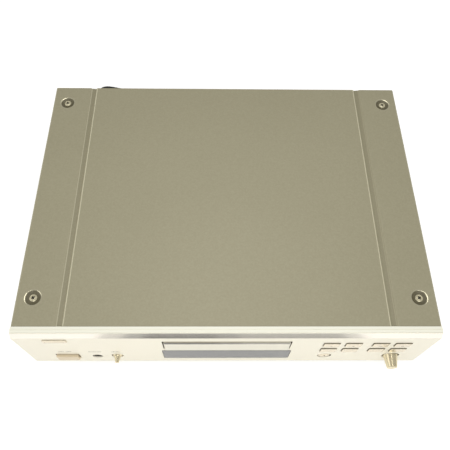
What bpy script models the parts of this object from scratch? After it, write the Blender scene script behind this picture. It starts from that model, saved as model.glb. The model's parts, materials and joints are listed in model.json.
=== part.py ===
# Full-size component CD player with a front-loading disc tray.
# Metres, +Z up, front facing -Y, origin at the bottom centre of the box round the player.

import math

import bmesh
import bpy
from mathutils import Vector

# Fits and sheet

CLEARANCE = 0.0003
OVERRUN = 0.002
SHEET = 0.0012

# Shares of a piece's own size

TIP_SHARE = 0.9
ROOT_SHARE = 1.15
TOOTH_SHARES = (-0.33, -0.13, 0.13, 0.33)
CROWN_WIDTH_SHARE = 0.72
CROWN_DROP_SHARE = 0.12
SCREW_RIM_SHARE = 0.35
DOME_MIDDLE_SHARE = 0.8
DOME_EDGE_SHARE = 0.2
KNOB_EDGE_SHARE = 0.12
PIVOT_PIN_SHARE = 0.8
CONE_TIP_SHARE = 0.7
LENS_RIM_SHARE = 0.7
LENS_STEP_SHARE = 0.85
WINDING_SHARE = 0.62
RELIEF_SHARE = 0.7
SHARP_DEGREES = 35

# Case

PANEL_WIDTH = 0.434
PANEL_HEIGHT = 0.0958
PANEL_DEPTH = 0.0104
BRIGHT_EDGE_DEPTH = 0.0034
BRIGHT_EDGE_HEIGHT = 0.0065
FOOT_HEIGHT = 0.014
COVER_WIDTH = 0.434
COVER_LENGTH = 0.315
COVER_BEND = 0.002
GROOVE_INSET = 0.0482
GROOVE_WIDTH = 0.0073
GROOVE_DEPTH = 0.0015
GROOVE_SLOPE = 0.0009
DISH_RADIUS = 0.00875
DISH_FLOOR_RADIUS = 0.0052
DISH_DEPTH = 0.002
SCREW_INSET = 0.0177
FRONT_SCREW_DEPTH = 0.041
REAR_SCREW_DEPTH = 0.301
SCREW_HEAD_RADIUS = 0.0044
SCREW_HEAD_HEIGHT = 0.0016
SCREW_SHAFT_RADIUS = 0.0018
SCREW_LENGTH = 0.008
CROSS_LENGTH = 0.0046
CROSS_WIDTH = 0.0011
CROSS_DEPTH = 0.0009
BASE_FLANGE = 0.012
FRAME_FLANGE = 0.012
LUG_WIDTH = 0.02
LUG_REACH = 0.007
REAR_INSET = 0.0012
FOOT_TOP_RADIUS = 0.0205
FOOT_RADIUS = 0.0235
FOOT_SKIRT = 0.0045
FOOT_SPREAD = 0.172
FOOT_FRONT_DEPTH = 0.05
FOOT_REAR_DEPTH = 0.283
PAD_RADIUS = 0.017
PAD_PROUD = 0.0008

# Front panel features

NAME_PLATE_CENTRE = -0.1755
NAME_PLATE_WIDTH = 0.024
NAME_PLATE_HEIGHT = 0.0075
NAME_PLATE_THICKNESS = 0.0007
NAME_PLATE_Z = 0.0805
WINDOW_WIDTH = 0.1398
WINDOW_BOTTOM = 0.012
WINDOW_TOP = 0.0455
WINDOW_ROUND = 0.003
WINDOW_RECESS = 0.001
WINDOW_FLANGE = 0.003
WINDOW_THICKNESS = 0.002
WEB_THICKNESS = 0.003
TRAY_OPENING_WIDTH = 0.1344
TRAY_OPENING_BOTTOM = 0.0505
TRAY_OPENING_TOP = 0.078
TRAY_OPENING_ROUND = 0.001
FASCIA_SIDE_GAP = 0.0019
FASCIA_EDGE_GAP = 0.0012
FASCIA_PROUD = 0.002
FASCIA_THICKNESS = 0.0075
FASCIA_BEVEL = 0.0022
BUTTON_WIDTH = 0.0169
BUTTON_CENTRES = (0.1095, 0.1327, 0.1613, 0.1846)
BUTTON_ROWS = (0.0662, 0.0464)
BUTTON_HEIGHT = 0.0115
BUTTON_GAP = 0.00035
BUTTON_PROUD = 0.0012
BUTTON_EDGE = 0.0004
BUTTON_TRAVEL = 0.0008
BUTTON_FLANGE = 0.0012
BUTTON_FLANGE_THICKNESS = 0.0012
BUTTON_STEM = 0.004
ROUND_BUTTON_CENTRE = 0.1092
ROUND_BUTTON_Z = 0.023
ROUND_BUTTON_RECESS = 0.00775
ROUND_BUTTON_RADIUS = 0.0066
ROUND_BUTTON_DOME = 0.0008
POWER_CENTRE = -0.175
POWER_Z = 0.0225
POWER_WIDTH = 0.0235
POWER_HEIGHT = 0.0138
POWER_RIM = 0.0011
POWER_PROUD = 0.003
POWER_TRAVEL = 0.003
SELECT_CENTRE = 0.1837
SELECT_Z = 0.023
SELECT_RECESS = 0.00965
SELECT_BASE_RADIUS = 0.0078
SELECT_TIP_RADIUS = 0.0058
SELECT_REACH = 0.014
LEVEL_CENTRE = -0.1207
LEVEL_Z = 0.0238
LEVEL_RECESS = 0.0065
LEVEL_BASE_RADIUS = 0.0037
LEVEL_TIP_RADIUS = 0.0021
LEVEL_REACH = 0.008
SELECT_TAIL = 0.009
SELECT_SHAFT_RADIUS = 0.003
SELECT_BORE_DEPTH = 0.013
LEVEL_TAIL = 0.013
LEVEL_SHAFT_RADIUS = 0.0014
LEVEL_BORE_DEPTH = 0.009
JACK_CENTRE = -0.143
JACK_Z = 0.0216
JACK_RADIUS = 0.0056
JACK_RING_RADIUS = 0.0048
JACK_RECESS = 0.004
JACK_BORE = 0.00325
JACK_LENGTH = 0.03
JACK_BODY_WIDTH = 0.016

# Front electronics

BOARD_THICKNESS = 0.0016
FRONT_BOARD_DEPTH = 0.0212
FRONT_BOARD_BOTTOM = 0.008
FRONT_BOARD_TOP = 0.088
SWITCH_WIDTH = 0.006
SWITCH_HEIGHT = 0.0035
PLUNGER_RADIUS = 0.0017
PLUNGER_HEIGHT = 0.001
CONTROL_BODY_WIDTH = 0.0125
CONTROL_BODY_DEPTH = 0.007
LEVEL_BODY_WIDTH = 0.0105
BOARD_POST_X = 0.088
BOARD_POST_HEIGHTS = (0.014, 0.082)
BOARD_RIGHT = 0.205
DISPLAY_WIDTH = 0.128
DISPLAY_HEIGHT = 0.027
DISPLAY_THICKNESS = 0.0065
POWER_SWITCH_WIDTH = 0.018
POWER_SWITCH_LENGTH = 0.03

# Disc tray and loader

TRAY_WIDTH = 0.1296
TRAY_LENGTH = 0.189
TRAY_FLOOR_Z = 0.0585
TRAY_DECK = 0.0052
DISC_DEPTH = 0.0765
DISC_RECESS_RADIUS = 0.0604
DISC_RECESS_DEPTH = 0.0016
SMALL_DISC_RADIUS = 0.0405
SMALL_DISC_DEPTH = 0.0014
TRAY_SLOT_WIDTH = 0.0415
GEAR_MODULE = 0.001
GEAR_BACKLASH = 0.00018
RACK_LINE = 0.051
RACK_WIDTH = 0.0055
RACK_START = 0.028
RACK_TEETH = 50
RACK_LEAD_TEETH = 5
TRAY_GEAR_TEETH = 20
TRAY_WHEEL_TEETH = 36
GEAR_HEIGHT = 0.0038
WHEEL_HEIGHT = 0.0028
STUD_RADIUS = 0.0015
PULLEY_PINION_TEETH = 12
PULLEY_RADIUS = 0.014
MOTOR_PULLEY_RADIUS = 0.0036
PULLEY_HEIGHT = 0.003
PULLEY_RIM = 0.0009
BELT_THICKNESS = 0.001
BELT_REACH = 0.032
MOTOR_RADIUS = 0.0115
MOTOR_LENGTH = 0.0185
MOTOR_SHAFT_RADIUS = 0.001
LOADER_WALL = 0.0025
LOADER_FLOOR_Z = 0.044
LOADER_FLOOR = 0.0025
LOADER_START = 0.025
LOADER_LENGTH = 0.186
LOADER_RAIL = 0.0042
LOADER_RAIL_THICKNESS = 0.0018
LOADER_LEG_WIDTH = 0.012
PLAY_WINDOW_WIDTH = 0.082
PLAY_WINDOW_START = 0.0575
PLAY_WINDOW_LENGTH = 0.132
BRIDGE_WIDTH = 0.03
BRIDGE_THICKNESS = 0.0014
BRIDGE_GAP = 0.0055
PUCK_RADIUS = 0.0155
PUCK_NECK = 0.0115
PUCK_FLANGE = 0.0138
PUCK_RECESS = 0.0084
PUCK_FLANGE_THICKNESS = 0.0012

# Traverse with spindle and laser sled

TRAVERSE_WIDTH = 0.076
TRAVERSE_LENGTH = 0.118
TRAVERSE_THICKNESS = 0.003
TRAVERSE_GAP = 0.0055
PIVOT_INSET = 0.0048
PIVOT_RADIUS = 0.0018
PIVOT_LENGTH = 0.0075
EAR_WIDTH = 0.0045
EAR_LENGTH = 0.009
SPINDLE_MOTOR_RADIUS = 0.013
SPINDLE_MOTOR_HEIGHT = 0.0065
SPINDLE_SHAFT_RADIUS = 0.001
PLATTER_RADIUS = 0.0145
PLATTER_HUB_RADIUS = 0.004
PLATTER_THICKNESS = 0.0026
PLATTER_CONE_RADIUS = 0.0074
PLATTER_CONE_HEIGHT = 0.0016
DISC_LIFT = 0.001
ROD_RADIUS = 0.0015
ROD_SPREAD = 0.0185
ROD_START = 0.0185
ROD_LENGTH = 0.075
ROD_HOLDER = 0.004
SLED_WIDTH = 0.046
SLED_LENGTH = 0.026
SLED_BASE_HEIGHT = 0.0047
SLED_TOP_WIDTH = 0.02
SLED_TOP_LENGTH = 0.022
SLED_TOP_HEIGHT = 0.0069
LENS_PLACE = 0.0245
LENS_RADIUS = 0.0034
LENS_RIM = 0.0048
LENS_HEIGHT = 0.0015
SLED_MODULE = 0.0006
SLED_RACK_TEETH = 22
SLED_RACK_LEAD_TEETH = 20
SLED_RACK_BAR = 0.0022
SLED_RACK_HEIGHT = 0.0024
SLED_PINION_TEETH = 14
SLED_MOTOR_RADIUS = 0.0065
SLED_MOTOR_HEIGHT = 0.0085

# Electronics behind the panel

MAIN_BOARD_INSET = 0.012
MAIN_BOARD_WIDTH = 0.124
MAIN_BOARD_START = 0.08
MAIN_BOARD_LENGTH = 0.236
BOARD_LIFT = 0.008
SPACER_RADIUS = 0.003
TRANSFORMER_INSET = 0.089
TRANSFORMER_DEPTH = 0.185
TRANSFORMER_WIDTH = 0.066
TRANSFORMER_LENGTH = 0.056
TRANSFORMER_HEIGHT = 0.056
CORE_THICKNESS = 0.022
CAN_RADIUS = 0.008
CAN_HEIGHT = 0.03
CAN_SHARES = ((0.2, 0.12), (0.42, 0.12), (0.2, 0.24), (0.42, 0.24))
CHIP_WIDTH = 0.016
CHIP_HEIGHT = 0.003
CHIP_SHARES = ((0.75, 0.2), (0.45, 0.5), (0.8, 0.5))
SOCKET_REACH = 0.009
SOCKET_RADIUS = 0.0041
SOCKET_BORE = 0.0017
SOCKET_SPACING = 0.014
SOCKET_INSET = 0.049
SOCKET_Z = 0.03
SOCKET_BLOCK_DEPTH = 0.012

# Mains cord

CORD_DIAMETER = 0.006
CORD_INSET = 0.042
CORD_Z = 0.0478
BUSHING_LENGTH = 0.026
BUSHING_RADIUS = 0.0062
BUSHING_TIP_RADIUS = 0.0042
BUSHING_HOLE = 0.0058
CORD_ROUTE = (
    (-0.1750, 0.19135, 0.0618),
    (-0.1750, 0.1955, 0.0618),
    (-0.1746, 0.2037, 0.0610),
    (-0.1730, 0.2118, 0.0582),
    (-0.1702, 0.2185, 0.0533),
    (-0.1662, 0.2239, 0.0475),
    (-0.1612, 0.2281, 0.0416),
    (-0.1552, 0.2315, 0.0361),
    (-0.1483, 0.2342, 0.0312),
    (-0.1407, 0.2364, 0.0273),
    (-0.1326, 0.2381, 0.0244),
    (-0.1240, 0.2396, 0.0227),
    (-0.1153, 0.2410, 0.0223),
    (-0.1066, 0.2424, 0.0224),
    (-0.0978, 0.2426, 0.0225),
)
CORD_STEPS = 2
COIL_CENTRE = (-0.0915, 0.2061)
COIL_RADIUS = 0.03
COIL_PITCH = 0.0065
COIL_LAYERS = 4
COIL_TURNS = 2
COIL_POINTS = 24
COIL_TAIL = 0.019
PLUG_WIDTH = 0.022
PLUG_HEIGHT = 0.012
PLUG_LENGTH = 0.03
PLUG_RELIEF = 0.012
PLUG_EDGE = 0.003
BLADE_LENGTH = 0.017
BLADE_WIDTH = 0.0063
BLADE_THICKNESS = 0.0015
BLADE_SPACING = 0.0127

# Places that follow from the sizes above

BODY_DEPTH = PANEL_DEPTH + CLEARANCE + COVER_LENGTH
FACE_Y = SELECT_REACH - (SELECT_REACH + BODY_DEPTH + SOCKET_REACH - REAR_INSET) / 2
FRAME_FRONT = PANEL_DEPTH + CLEARANCE
REAR_FACE = BODY_DEPTH - REAR_INSET
GROOVE_CENTRE = COVER_WIDTH / 2 - GROOVE_INSET
SCREW_SPREAD = COVER_WIDTH / 2 - SCREW_INSET
MAIN_BOARD_RIGHT = COVER_WIDTH / 2 - MAIN_BOARD_INSET
MAIN_BOARD_LEFT = MAIN_BOARD_RIGHT - MAIN_BOARD_WIDTH
TRANSFORMER_CENTRE = TRANSFORMER_INSET - COVER_WIDTH / 2
CORD_EXIT = CORD_INSET - COVER_WIDTH / 2
SOCKET_CENTRE = COVER_WIDTH / 2 - SOCKET_INSET
INNER_HALF = COVER_WIDTH / 2 - SHEET - CLEARANCE
FRAME_HALF = INNER_HALF - SHEET - CLEARANCE
FRAME_BOTTOM = SHEET + CLEARANCE
FRAME_TOP = PANEL_HEIGHT - DISH_DEPTH - SHEET - CLEARANCE
FLOOR_TOP = SHEET
BOARD_BACK = FRONT_BOARD_DEPTH + BOARD_THICKNESS
TRAY_START = FASCIA_THICKNESS - FASCIA_PROUD + CLEARANCE
TRAY_END = TRAY_START + TRAY_LENGTH
DECK_TOP = TRAY_FLOOR_Z + TRAY_DECK
TRAY_GEAR_X = RACK_LINE - GEAR_MODULE * TRAY_GEAR_TEETH / 2 - GEAR_BACKLASH
PULLEY_X = TRAY_GEAR_X - GEAR_MODULE * (TRAY_WHEEL_TEETH + PULLEY_PINION_TEETH) / 2 - GEAR_BACKLASH
GEAR_TOP = TRAY_FLOOR_Z - CLEARANCE
WHEEL_TOP = GEAR_TOP - GEAR_HEIGHT
PULLEY_TOP = WHEEL_TOP - WHEEL_HEIGHT - CLEARANCE
TRAY_GEAR_DEPTH = RACK_START + RACK_LEAD_TEETH * math.pi * GEAR_MODULE
RACK_BOTTOM = WHEEL_TOP + 2 * CLEARANCE
LOADER_TOP = DECK_TOP + BRIDGE_GAP
LOADER_HALF = TRAY_WIDTH / 2 + CLEARANCE
FLOOR_LEVEL = LOADER_FLOOR_Z + LOADER_FLOOR
DISC_FLOOR = DECK_TOP - DISC_RECESS_DEPTH
PLATTER_TOP = DISC_FLOOR + DISC_LIFT
TRAVERSE_TOP = TRAY_FLOOR_Z - TRAVERSE_GAP
TRAVERSE_BOTTOM = TRAVERSE_TOP - TRAVERSE_THICKNESS
TRAVERSE_START = TRAY_GEAR_DEPTH + GEAR_MODULE * (TRAY_WHEEL_TEETH / 2 + 1) + CLEARANCE
PIVOT_DEPTH = TRAVERSE_START + TRAVERSE_LENGTH - PIVOT_INSET
PIVOT_Z = TRAVERSE_TOP - TRAVERSE_THICKNESS / 2
ROD_Z = TRAVERSE_TOP + CLEARANCE + SLED_BASE_HEIGHT / 2
SLED_FRONT = DISC_DEPTH + ROD_START + ROD_HOLDER + 2 * CLEARANCE
SLED_RACK_LINE = SLED_WIDTH / 2 + SLED_RACK_BAR
SLED_PITCH = math.pi * SLED_MODULE
SLED_RACK_START = SLED_FRONT + SLED_LENGTH - SLED_RACK_TEETH * SLED_PITCH
SLED_PINION_X = SLED_RACK_LINE + SLED_MODULE * SLED_PINION_TEETH / 2 + GEAR_BACKLASH
SLED_PINION_DEPTH = SLED_RACK_START + SLED_RACK_LEAD_TEETH * SLED_PITCH

FINISHES = {
    "olive_paint": ((0.342, 0.312, 0.212), 0.45, 0.2),
    "champagne": ((0.86, 0.82, 0.7), 0.35, 0.5),
    "pale_metal": ((0.83, 0.8, 0.68), 0.25, 0.8),
    "zinc": ((0.6, 0.6, 0.58), 0.4, 0.9),
    "steel": ((0.5, 0.5, 0.5), 0.3, 1.0),
    "gold": ((0.72, 0.5, 0.2), 0.25, 1.0),
    "black_plastic": ((0.02, 0.02, 0.02), 0.5, 0.0),
    "black_rubber": ((0.015, 0.015, 0.015), 0.8, 0.0),
    "white_plastic": ((0.75, 0.74, 0.7), 0.45, 0.0),
    "smoked": ((0.12, 0.12, 0.12), 0.08, 0.0),
    "board_green": ((0.03, 0.16, 0.07), 0.5, 0.0),
    "board_tan": ((0.35, 0.24, 0.11), 0.6, 0.0),
    "clear_lens": ((0.3, 0.35, 0.5), 0.05, 0.0),
}


def material(name, finish):
    colour, roughness, metallic = FINISHES[finish]
    made = bpy.data.materials.new(name)
    made.use_nodes = True
    shader = made.node_tree.nodes["Principled BSDF"]
    shader.inputs["Base Color"].default_value = (*colour, 1.0)
    shader.inputs["Roughness"].default_value = roughness
    shader.inputs["Metallic"].default_value = metallic
    return made


def back(depth):
    # World Y of a place given as a depth behind the panel's face.
    return FACE_Y + depth


def up(height):
    # World Z of a place given as a height above the panel's lower edge.
    return FOOT_HEIGHT + height


def at(axis, u, v, w):
    if axis == "X":
        return Vector((w, u, v))
    if axis == "Y":
        return Vector((u, w, v))
    return Vector((u, v, w))


def prism(mesh, outline, axis, low, high):
    # A closed outline pushed along an axis: (Y, Z) for X, (X, Z) for Y and (X, Y) for Z.
    near = [mesh.verts.new(at(axis, u, v, low)) for u, v in outline]
    far = [mesh.verts.new(at(axis, u, v, high)) for u, v in outline]
    faces = [mesh.faces.new(near), mesh.faces.new(far[::-1])]
    for i in range(len(outline)):
        j = (i + 1) % len(outline)
        faces.append(mesh.faces.new((near[i], far[i], far[j], near[j])))
    bmesh.ops.recalc_face_normals(mesh, faces=faces)


def block(mesh, x, y, z):
    corners = [(x[0], y[0]), (x[1], y[0]), (x[1], y[1]), (x[0], y[1])]
    prism(mesh, corners, "Z", z[0], z[1])


def span(centre, width):
    return (centre - width / 2, centre + width / 2)


def circle(u, v, radius, sides):
    turn = 2 * math.pi / sides
    return [(u + radius * math.cos(i * turn), v + radius * math.sin(i * turn)) for i in range(sides)]


def round_corners(u, v, radius, steps=4):
    # A rectangle's outline with four rounded corners.
    points = []
    centres = [
        (u[1] - radius, v[1] - radius, 0),
        (u[0] + radius, v[1] - radius, 1),
        (u[0] + radius, v[0] + radius, 2),
        (u[1] - radius, v[0] + radius, 3),
    ]
    for cu, cv, quarter in centres:
        for i in range(steps + 1):
            angle = (quarter + i / steps) * math.pi / 2
            points.append((cu + radius * math.cos(angle), cv + radius * math.sin(angle)))
    return points


def rod(mesh, axis, centre, radius, low, high, sides=20):
    prism(mesh, circle(centre[0], centre[1], radius, sides), axis, low, high)


def turned(mesh, axis, centre, profile, sides=24, closed=False, caps=True):
    # Points (radius, place along the axis) turned about the axis. A zero radius makes a pole.
    rings = []
    for radius, w in profile:
        if radius == 0:
            rings.append([mesh.verts.new(at(axis, centre[0], centre[1], w))])
        else:
            around = circle(centre[0], centre[1], radius, sides)
            rings.append([mesh.verts.new(at(axis, u, v, w)) for u, v in around])
    pairs = list(zip(rings, rings[1:]))
    if closed:
        pairs.append((rings[-1], rings[0]))
    faces = []
    for one, two in pairs:
        for i in range(sides):
            j = (i + 1) % sides
            if len(one) == 1:
                faces.append(mesh.faces.new((one[0], two[i], two[j])))
            elif len(two) == 1:
                faces.append(mesh.faces.new((one[i], two[0], one[j])))
            else:
                faces.append(mesh.faces.new((one[i], two[i], two[j], one[j])))
    if caps and not closed:
        faces += [mesh.faces.new(ring) for ring in (rings[0], rings[-1]) if len(ring) > 1]
    bmesh.ops.recalc_face_normals(mesh, faces=faces)


def gear_outline(u, v, module, teeth, start=0.0):
    # Straight-flanked teeth, four points each, with a tooth centred on the angle start.
    pitch = module * teeth / 2
    tip = pitch + module * TIP_SHARE
    root = pitch - module * ROOT_SHARE
    points = []
    for tooth in range(teeth):
        for share, radius in zip(TOOTH_SHARES, (root, tip, tip, root)):
            angle = start + (tooth + share) * 2 * math.pi / teeth
            points.append((u + radius * math.cos(angle), v + radius * math.sin(angle)))
    return points


def rack_outline(line, side, base, start, module, teeth):
    # A straight rack along Y. Its teeth point to side (-1 or 1) from the pitch line.
    tip = line + side * module * TIP_SHARE
    root = line - side * module * ROOT_SHARE
    step = math.pi * module
    points = []
    for tooth in range(teeth):
        for share, u in zip(TOOTH_SHARES, (root, tip, tip, root)):
            points.append((u, start + (tooth + share + 0.5) * step))
    end = start + teeth * step
    return [(root, start)] + points + [(root, end), (base, end), (base, start)]


def finish_mesh(name, mesh, origin):
    bmesh.ops.translate(mesh, verts=mesh.verts, vec=-Vector(origin))
    data = bpy.data.meshes.new(name)
    mesh.to_mesh(data)
    mesh.free()
    made = bpy.data.objects.new(name, data)
    made.location = origin
    bpy.context.scene.collection.objects.link(made)
    return made


def part(name, mesh, finish, origin=(0, 0, 0), smooth=False):
    made = finish_mesh(name, mesh, origin)
    made.data.materials.append(material(name, finish))
    if smooth:
        made.data.shade_smooth()
        made.data.set_sharp_from_angle(angle=math.radians(SHARP_DEGREES))
    return made


def combine(target, mesh, operation):
    # Adds a Boolean whose second shape is a hidden guide object.
    guide = finish_mesh(f"{target.name}_{operation.lower()}", mesh, (0, 0, 0))
    guide.hide_render = True
    guide.display_type = "WIRE"
    modifier = target.modifiers.new(operation.title(), "BOOLEAN")
    modifier.operation = operation
    modifier.object = guide


def cut(target, mesh):
    combine(target, mesh, "DIFFERENCE")


def add(target, mesh):
    combine(target, mesh, "UNION")


def soften(target, width):
    modifier = target.modifiers.new("Soft edges", "BEVEL")
    modifier.width = width
    modifier.segments = 1
    modifier.limit_method = "ANGLE"
    modifier.angle_limit = math.radians(SHARP_DEGREES)


def screw(mesh, centre, seat):
    # A low domed head on a shaft that points down.
    top = seat + SCREW_HEAD_HEIGHT
    profile = [
        (0, top),
        (SCREW_HEAD_RADIUS * CROWN_WIDTH_SHARE, top - SCREW_HEAD_HEIGHT * CROWN_DROP_SHARE),
        (SCREW_HEAD_RADIUS, seat + SCREW_HEAD_HEIGHT * SCREW_RIM_SHARE),
        (SCREW_HEAD_RADIUS, seat),
        (SCREW_SHAFT_RADIUS, seat),
        (SCREW_SHAFT_RADIUS, seat - SCREW_LENGTH),
        (0, seat - SCREW_LENGTH),
    ]
    turned(mesh, "Z", centre, profile, sides=10)


def cross_slots(mesh, centre, low, high):
    u, v = centre
    arm, half = CROSS_LENGTH / 2, CROSS_WIDTH / 2
    outline = [
        (arm, half), (half, half), (half, arm), (-half, arm),
        (-half, half), (-arm, half), (-arm, -half), (-half, -half),
        (-half, -arm), (half, -arm), (half, -half), (arm, -half),
    ]
    prism(mesh, [(u + a, v + b) for a, b in outline], "Z", low, high)


# Case pieces


def cover_outline():
    # Half of the outer side of the cover in (X, Z), from the middle of the top to the skirt.
    top = up(PANEL_HEIGHT)
    half = COVER_WIDTH / 2
    inner = GROOVE_CENTRE - GROOVE_WIDTH / 2
    outer = GROOVE_CENTRE + GROOVE_WIDTH / 2
    points = [
        (inner, top),
        (inner + GROOVE_SLOPE, top - GROOVE_DEPTH),
        (outer - GROOVE_SLOPE, top - GROOVE_DEPTH),
        (outer, top),
    ]
    steps = 4
    for i in range(steps + 1):
        angle = math.pi / 2 * (1 - i / steps)
        x = half - COVER_BEND + COVER_BEND * math.cos(angle)
        points.append((x, top - COVER_BEND + COVER_BEND * math.sin(angle)))
    return points + [(half, up(0))]


def screw_places():
    return {
        f"{end}_{side}": (sign * SCREW_SPREAD, back(depth))
        for end, depth in (("front", FRONT_SCREW_DEPTH), ("rear", REAR_SCREW_DEPTH))
        for side, sign in (("left", -1), ("right", 1))
    }


def make_cover():
    right = cover_outline()
    line = [(-x, z) for x, z in reversed(right)] + right
    mesh = bmesh.new()
    front, rear = back(FRAME_FRONT), back(BODY_DEPTH)
    near = [mesh.verts.new((x, front, z)) for x, z in line]
    far = [mesh.verts.new((x, rear, z)) for x, z in line]
    for i in range(len(line) - 1):
        mesh.faces.new((near[i], near[i + 1], far[i + 1], far[i]))
    cover = part("top_cover", mesh, "olive_paint", smooth=True)
    wall = cover.modifiers.new("Sheet", "SOLIDIFY")
    wall.thickness = SHEET
    wall.offset = -1
    wall.use_even_offset = True
    top = up(PANEL_HEIGHT)
    cups, dishes = bmesh.new(), bmesh.new()
    for x, y in screw_places().values():
        cup = [
            (0, top - SHEET / 2),
            (DISH_RADIUS + SHEET, top - SHEET / 2),
            (DISH_RADIUS + SHEET, top - SHEET),
            (DISH_FLOOR_RADIUS + SHEET, top - DISH_DEPTH - SHEET),
            (0, top - DISH_DEPTH - SHEET),
        ]
        turned(cups, "Z", (x, y), cup, sides=16)
        hole = SCREW_SHAFT_RADIUS + CLEARANCE
        dish = [
            (0, top + OVERRUN),
            (DISH_RADIUS, top + OVERRUN),
            (DISH_RADIUS, top),
            (DISH_FLOOR_RADIUS, top - DISH_DEPTH),
            (hole, top - DISH_DEPTH),
            (hole, top - DISH_DEPTH - SHEET - OVERRUN),
            (0, top - DISH_DEPTH - SHEET - OVERRUN),
        ]
        turned(dishes, "Z", (x, y), dish, sides=16)
    add(cover, cups)
    cut(cover, dishes)


def make_cover_screws():
    seat = up(PANEL_HEIGHT - DISH_DEPTH) + CLEARANCE
    for name, place in screw_places().items():
        head, slot = bmesh.new(), bmesh.new()
        screw(head, place, seat)
        top = seat + SCREW_HEAD_HEIGHT
        cross_slots(slot, place, top - CROSS_DEPTH, top + OVERRUN)
        cut(part(f"cover_screw_{name}", head, "zinc", smooth=True), slot)


def make_sheet_frame(name, web, inward, lug_depth):
    # A folded sheet: a web with a flange along its top and bottom, and two screw lugs.
    front, rear = sorted((web, web + inward * SHEET))
    edge = web + inward * FRAME_FLANGE
    low, high = up(FRAME_BOTTOM), up(FRAME_TOP)
    outline = [
        (back(web), low),
        (back(web), high),
        (back(edge), high),
        (back(edge), high - SHEET),
        (back(web + inward * SHEET), high - SHEET),
        (back(web + inward * SHEET), low + SHEET),
        (back(edge), low + SHEET),
        (back(edge), low),
    ]
    mesh = bmesh.new()
    prism(mesh, outline, "X", -FRAME_HALF, FRAME_HALF)
    frame = part(name, mesh, "zinc")
    lugs, holes = bmesh.new(), bmesh.new()
    reach = lug_depth + inward * LUG_REACH
    hole = SCREW_SHAFT_RADIUS + CLEARANCE
    for side in (-1, 1):
        x = side * SCREW_SPREAD
        y = sorted((back(edge - inward * SHEET), back(reach)))
        block(lugs, span(x, LUG_WIDTH), y, (high - SHEET, high))
        rod(holes, "Z", (x, back(lug_depth)), hole, high - SHEET - OVERRUN, high + OVERRUN, sides=12)
    add(frame, lugs)
    cut(frame, holes)
    return frame, (back(front), back(rear))


def make_base():
    low, high = up(0), up(BASE_FLANGE)
    outline = [
        (-INNER_HALF, low), (INNER_HALF, low), (INNER_HALF, high), (INNER_HALF - SHEET, high),
        (INNER_HALF - SHEET, low + SHEET), (SHEET - INNER_HALF, low + SHEET),
        (SHEET - INNER_HALF, high), (-INNER_HALF, high),
    ]
    mesh = bmesh.new()
    prism(mesh, outline, "Y", back(FRAME_FRONT), back(REAR_FACE))
    part("chassis_base", mesh, "zinc")


def make_feet():
    top = up(0) - CLEARANCE
    for end, depth in (("front", FOOT_FRONT_DEPTH), ("rear", FOOT_REAR_DEPTH)):
        for side, sign in (("left", -1), ("right", 1)):
            centre = (sign * FOOT_SPREAD, back(depth))
            profile = [
                (0, top),
                (FOOT_TOP_RADIUS, top),
                (FOOT_TOP_RADIUS, PAD_PROUD + FOOT_SKIRT),
                (FOOT_RADIUS, PAD_PROUD + FOOT_SKIRT - CLEARANCE),
                (FOOT_RADIUS, PAD_PROUD),
                (PAD_RADIUS, PAD_PROUD),
                (PAD_RADIUS, 0),
                (0, 0),
            ]
            mesh = bmesh.new()
            turned(mesh, "Z", centre, profile, sides=18)
            part(f"foot_{end}_{side}", mesh, "black_plastic", smooth=True)


# Openings in the front panel


def tray_opening():
    return (
        span(0, TRAY_OPENING_WIDTH),
        (up(TRAY_OPENING_BOTTOM), up(TRAY_OPENING_TOP)),
    )


def window_opening():
    return span(0, WINDOW_WIDTH), (up(WINDOW_BOTTOM), up(WINDOW_TOP))


def button_places():
    return [(x, row) for row in BUTTON_ROWS for x in BUTTON_CENTRES]


def grown(pair, by):
    return (pair[0] - by, pair[1] + by)


def make_front_panel():
    low, high = up(0), up(PANEL_HEIGHT)
    outline = [
        (back(0), low),
        (back(0), high - BRIGHT_EDGE_HEIGHT),
        (back(BRIGHT_EDGE_DEPTH), high),
        (back(PANEL_DEPTH), high),
        (back(PANEL_DEPTH), low),
    ]
    mesh = bmesh.new()
    prism(mesh, outline, "X", -PANEL_WIDTH / 2, PANEL_WIDTH / 2)
    panel = part("front_panel", mesh, "champagne")
    front, rear = back(-OVERRUN), back(PANEL_DEPTH + OVERRUN)
    holes = bmesh.new()
    prism(holes, round_corners(*tray_opening(), TRAY_OPENING_ROUND, 2), "Y", front, rear)
    window = round_corners(*window_opening(), WINDOW_ROUND)
    pocket_start = back(WEB_THICKNESS)
    prism(holes, window, "Y", front, pocket_start + OVERRUN / 2)
    for x, z in button_places():
        block(holes, span(x, BUTTON_WIDTH + 2 * BUTTON_GAP), (front, rear),
              span(up(z), BUTTON_HEIGHT + 2 * BUTTON_GAP))
    for x, z, radius in (
        (ROUND_BUTTON_CENTRE, ROUND_BUTTON_Z, ROUND_BUTTON_RECESS),
        (SELECT_CENTRE, SELECT_Z, SELECT_RECESS),
        (LEVEL_CENTRE, LEVEL_Z, LEVEL_RECESS),
        (JACK_CENTRE, JACK_Z, JACK_RADIUS),
    ):
        rod(holes, "Y", (x, up(z)), radius, front, rear, sides=24)
    block(holes, span(POWER_CENTRE, POWER_WIDTH + 2 * POWER_RIM), (front, rear),
          span(up(POWER_Z), POWER_HEIGHT + 2 * POWER_RIM))
    cut(panel, holes)
    pocket = bmesh.new()
    x, z = window_opening()
    block(pocket, grown(x, WINDOW_FLANGE), (pocket_start, rear), grown(z, WINDOW_FLANGE))
    cut(panel, pocket)


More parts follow.
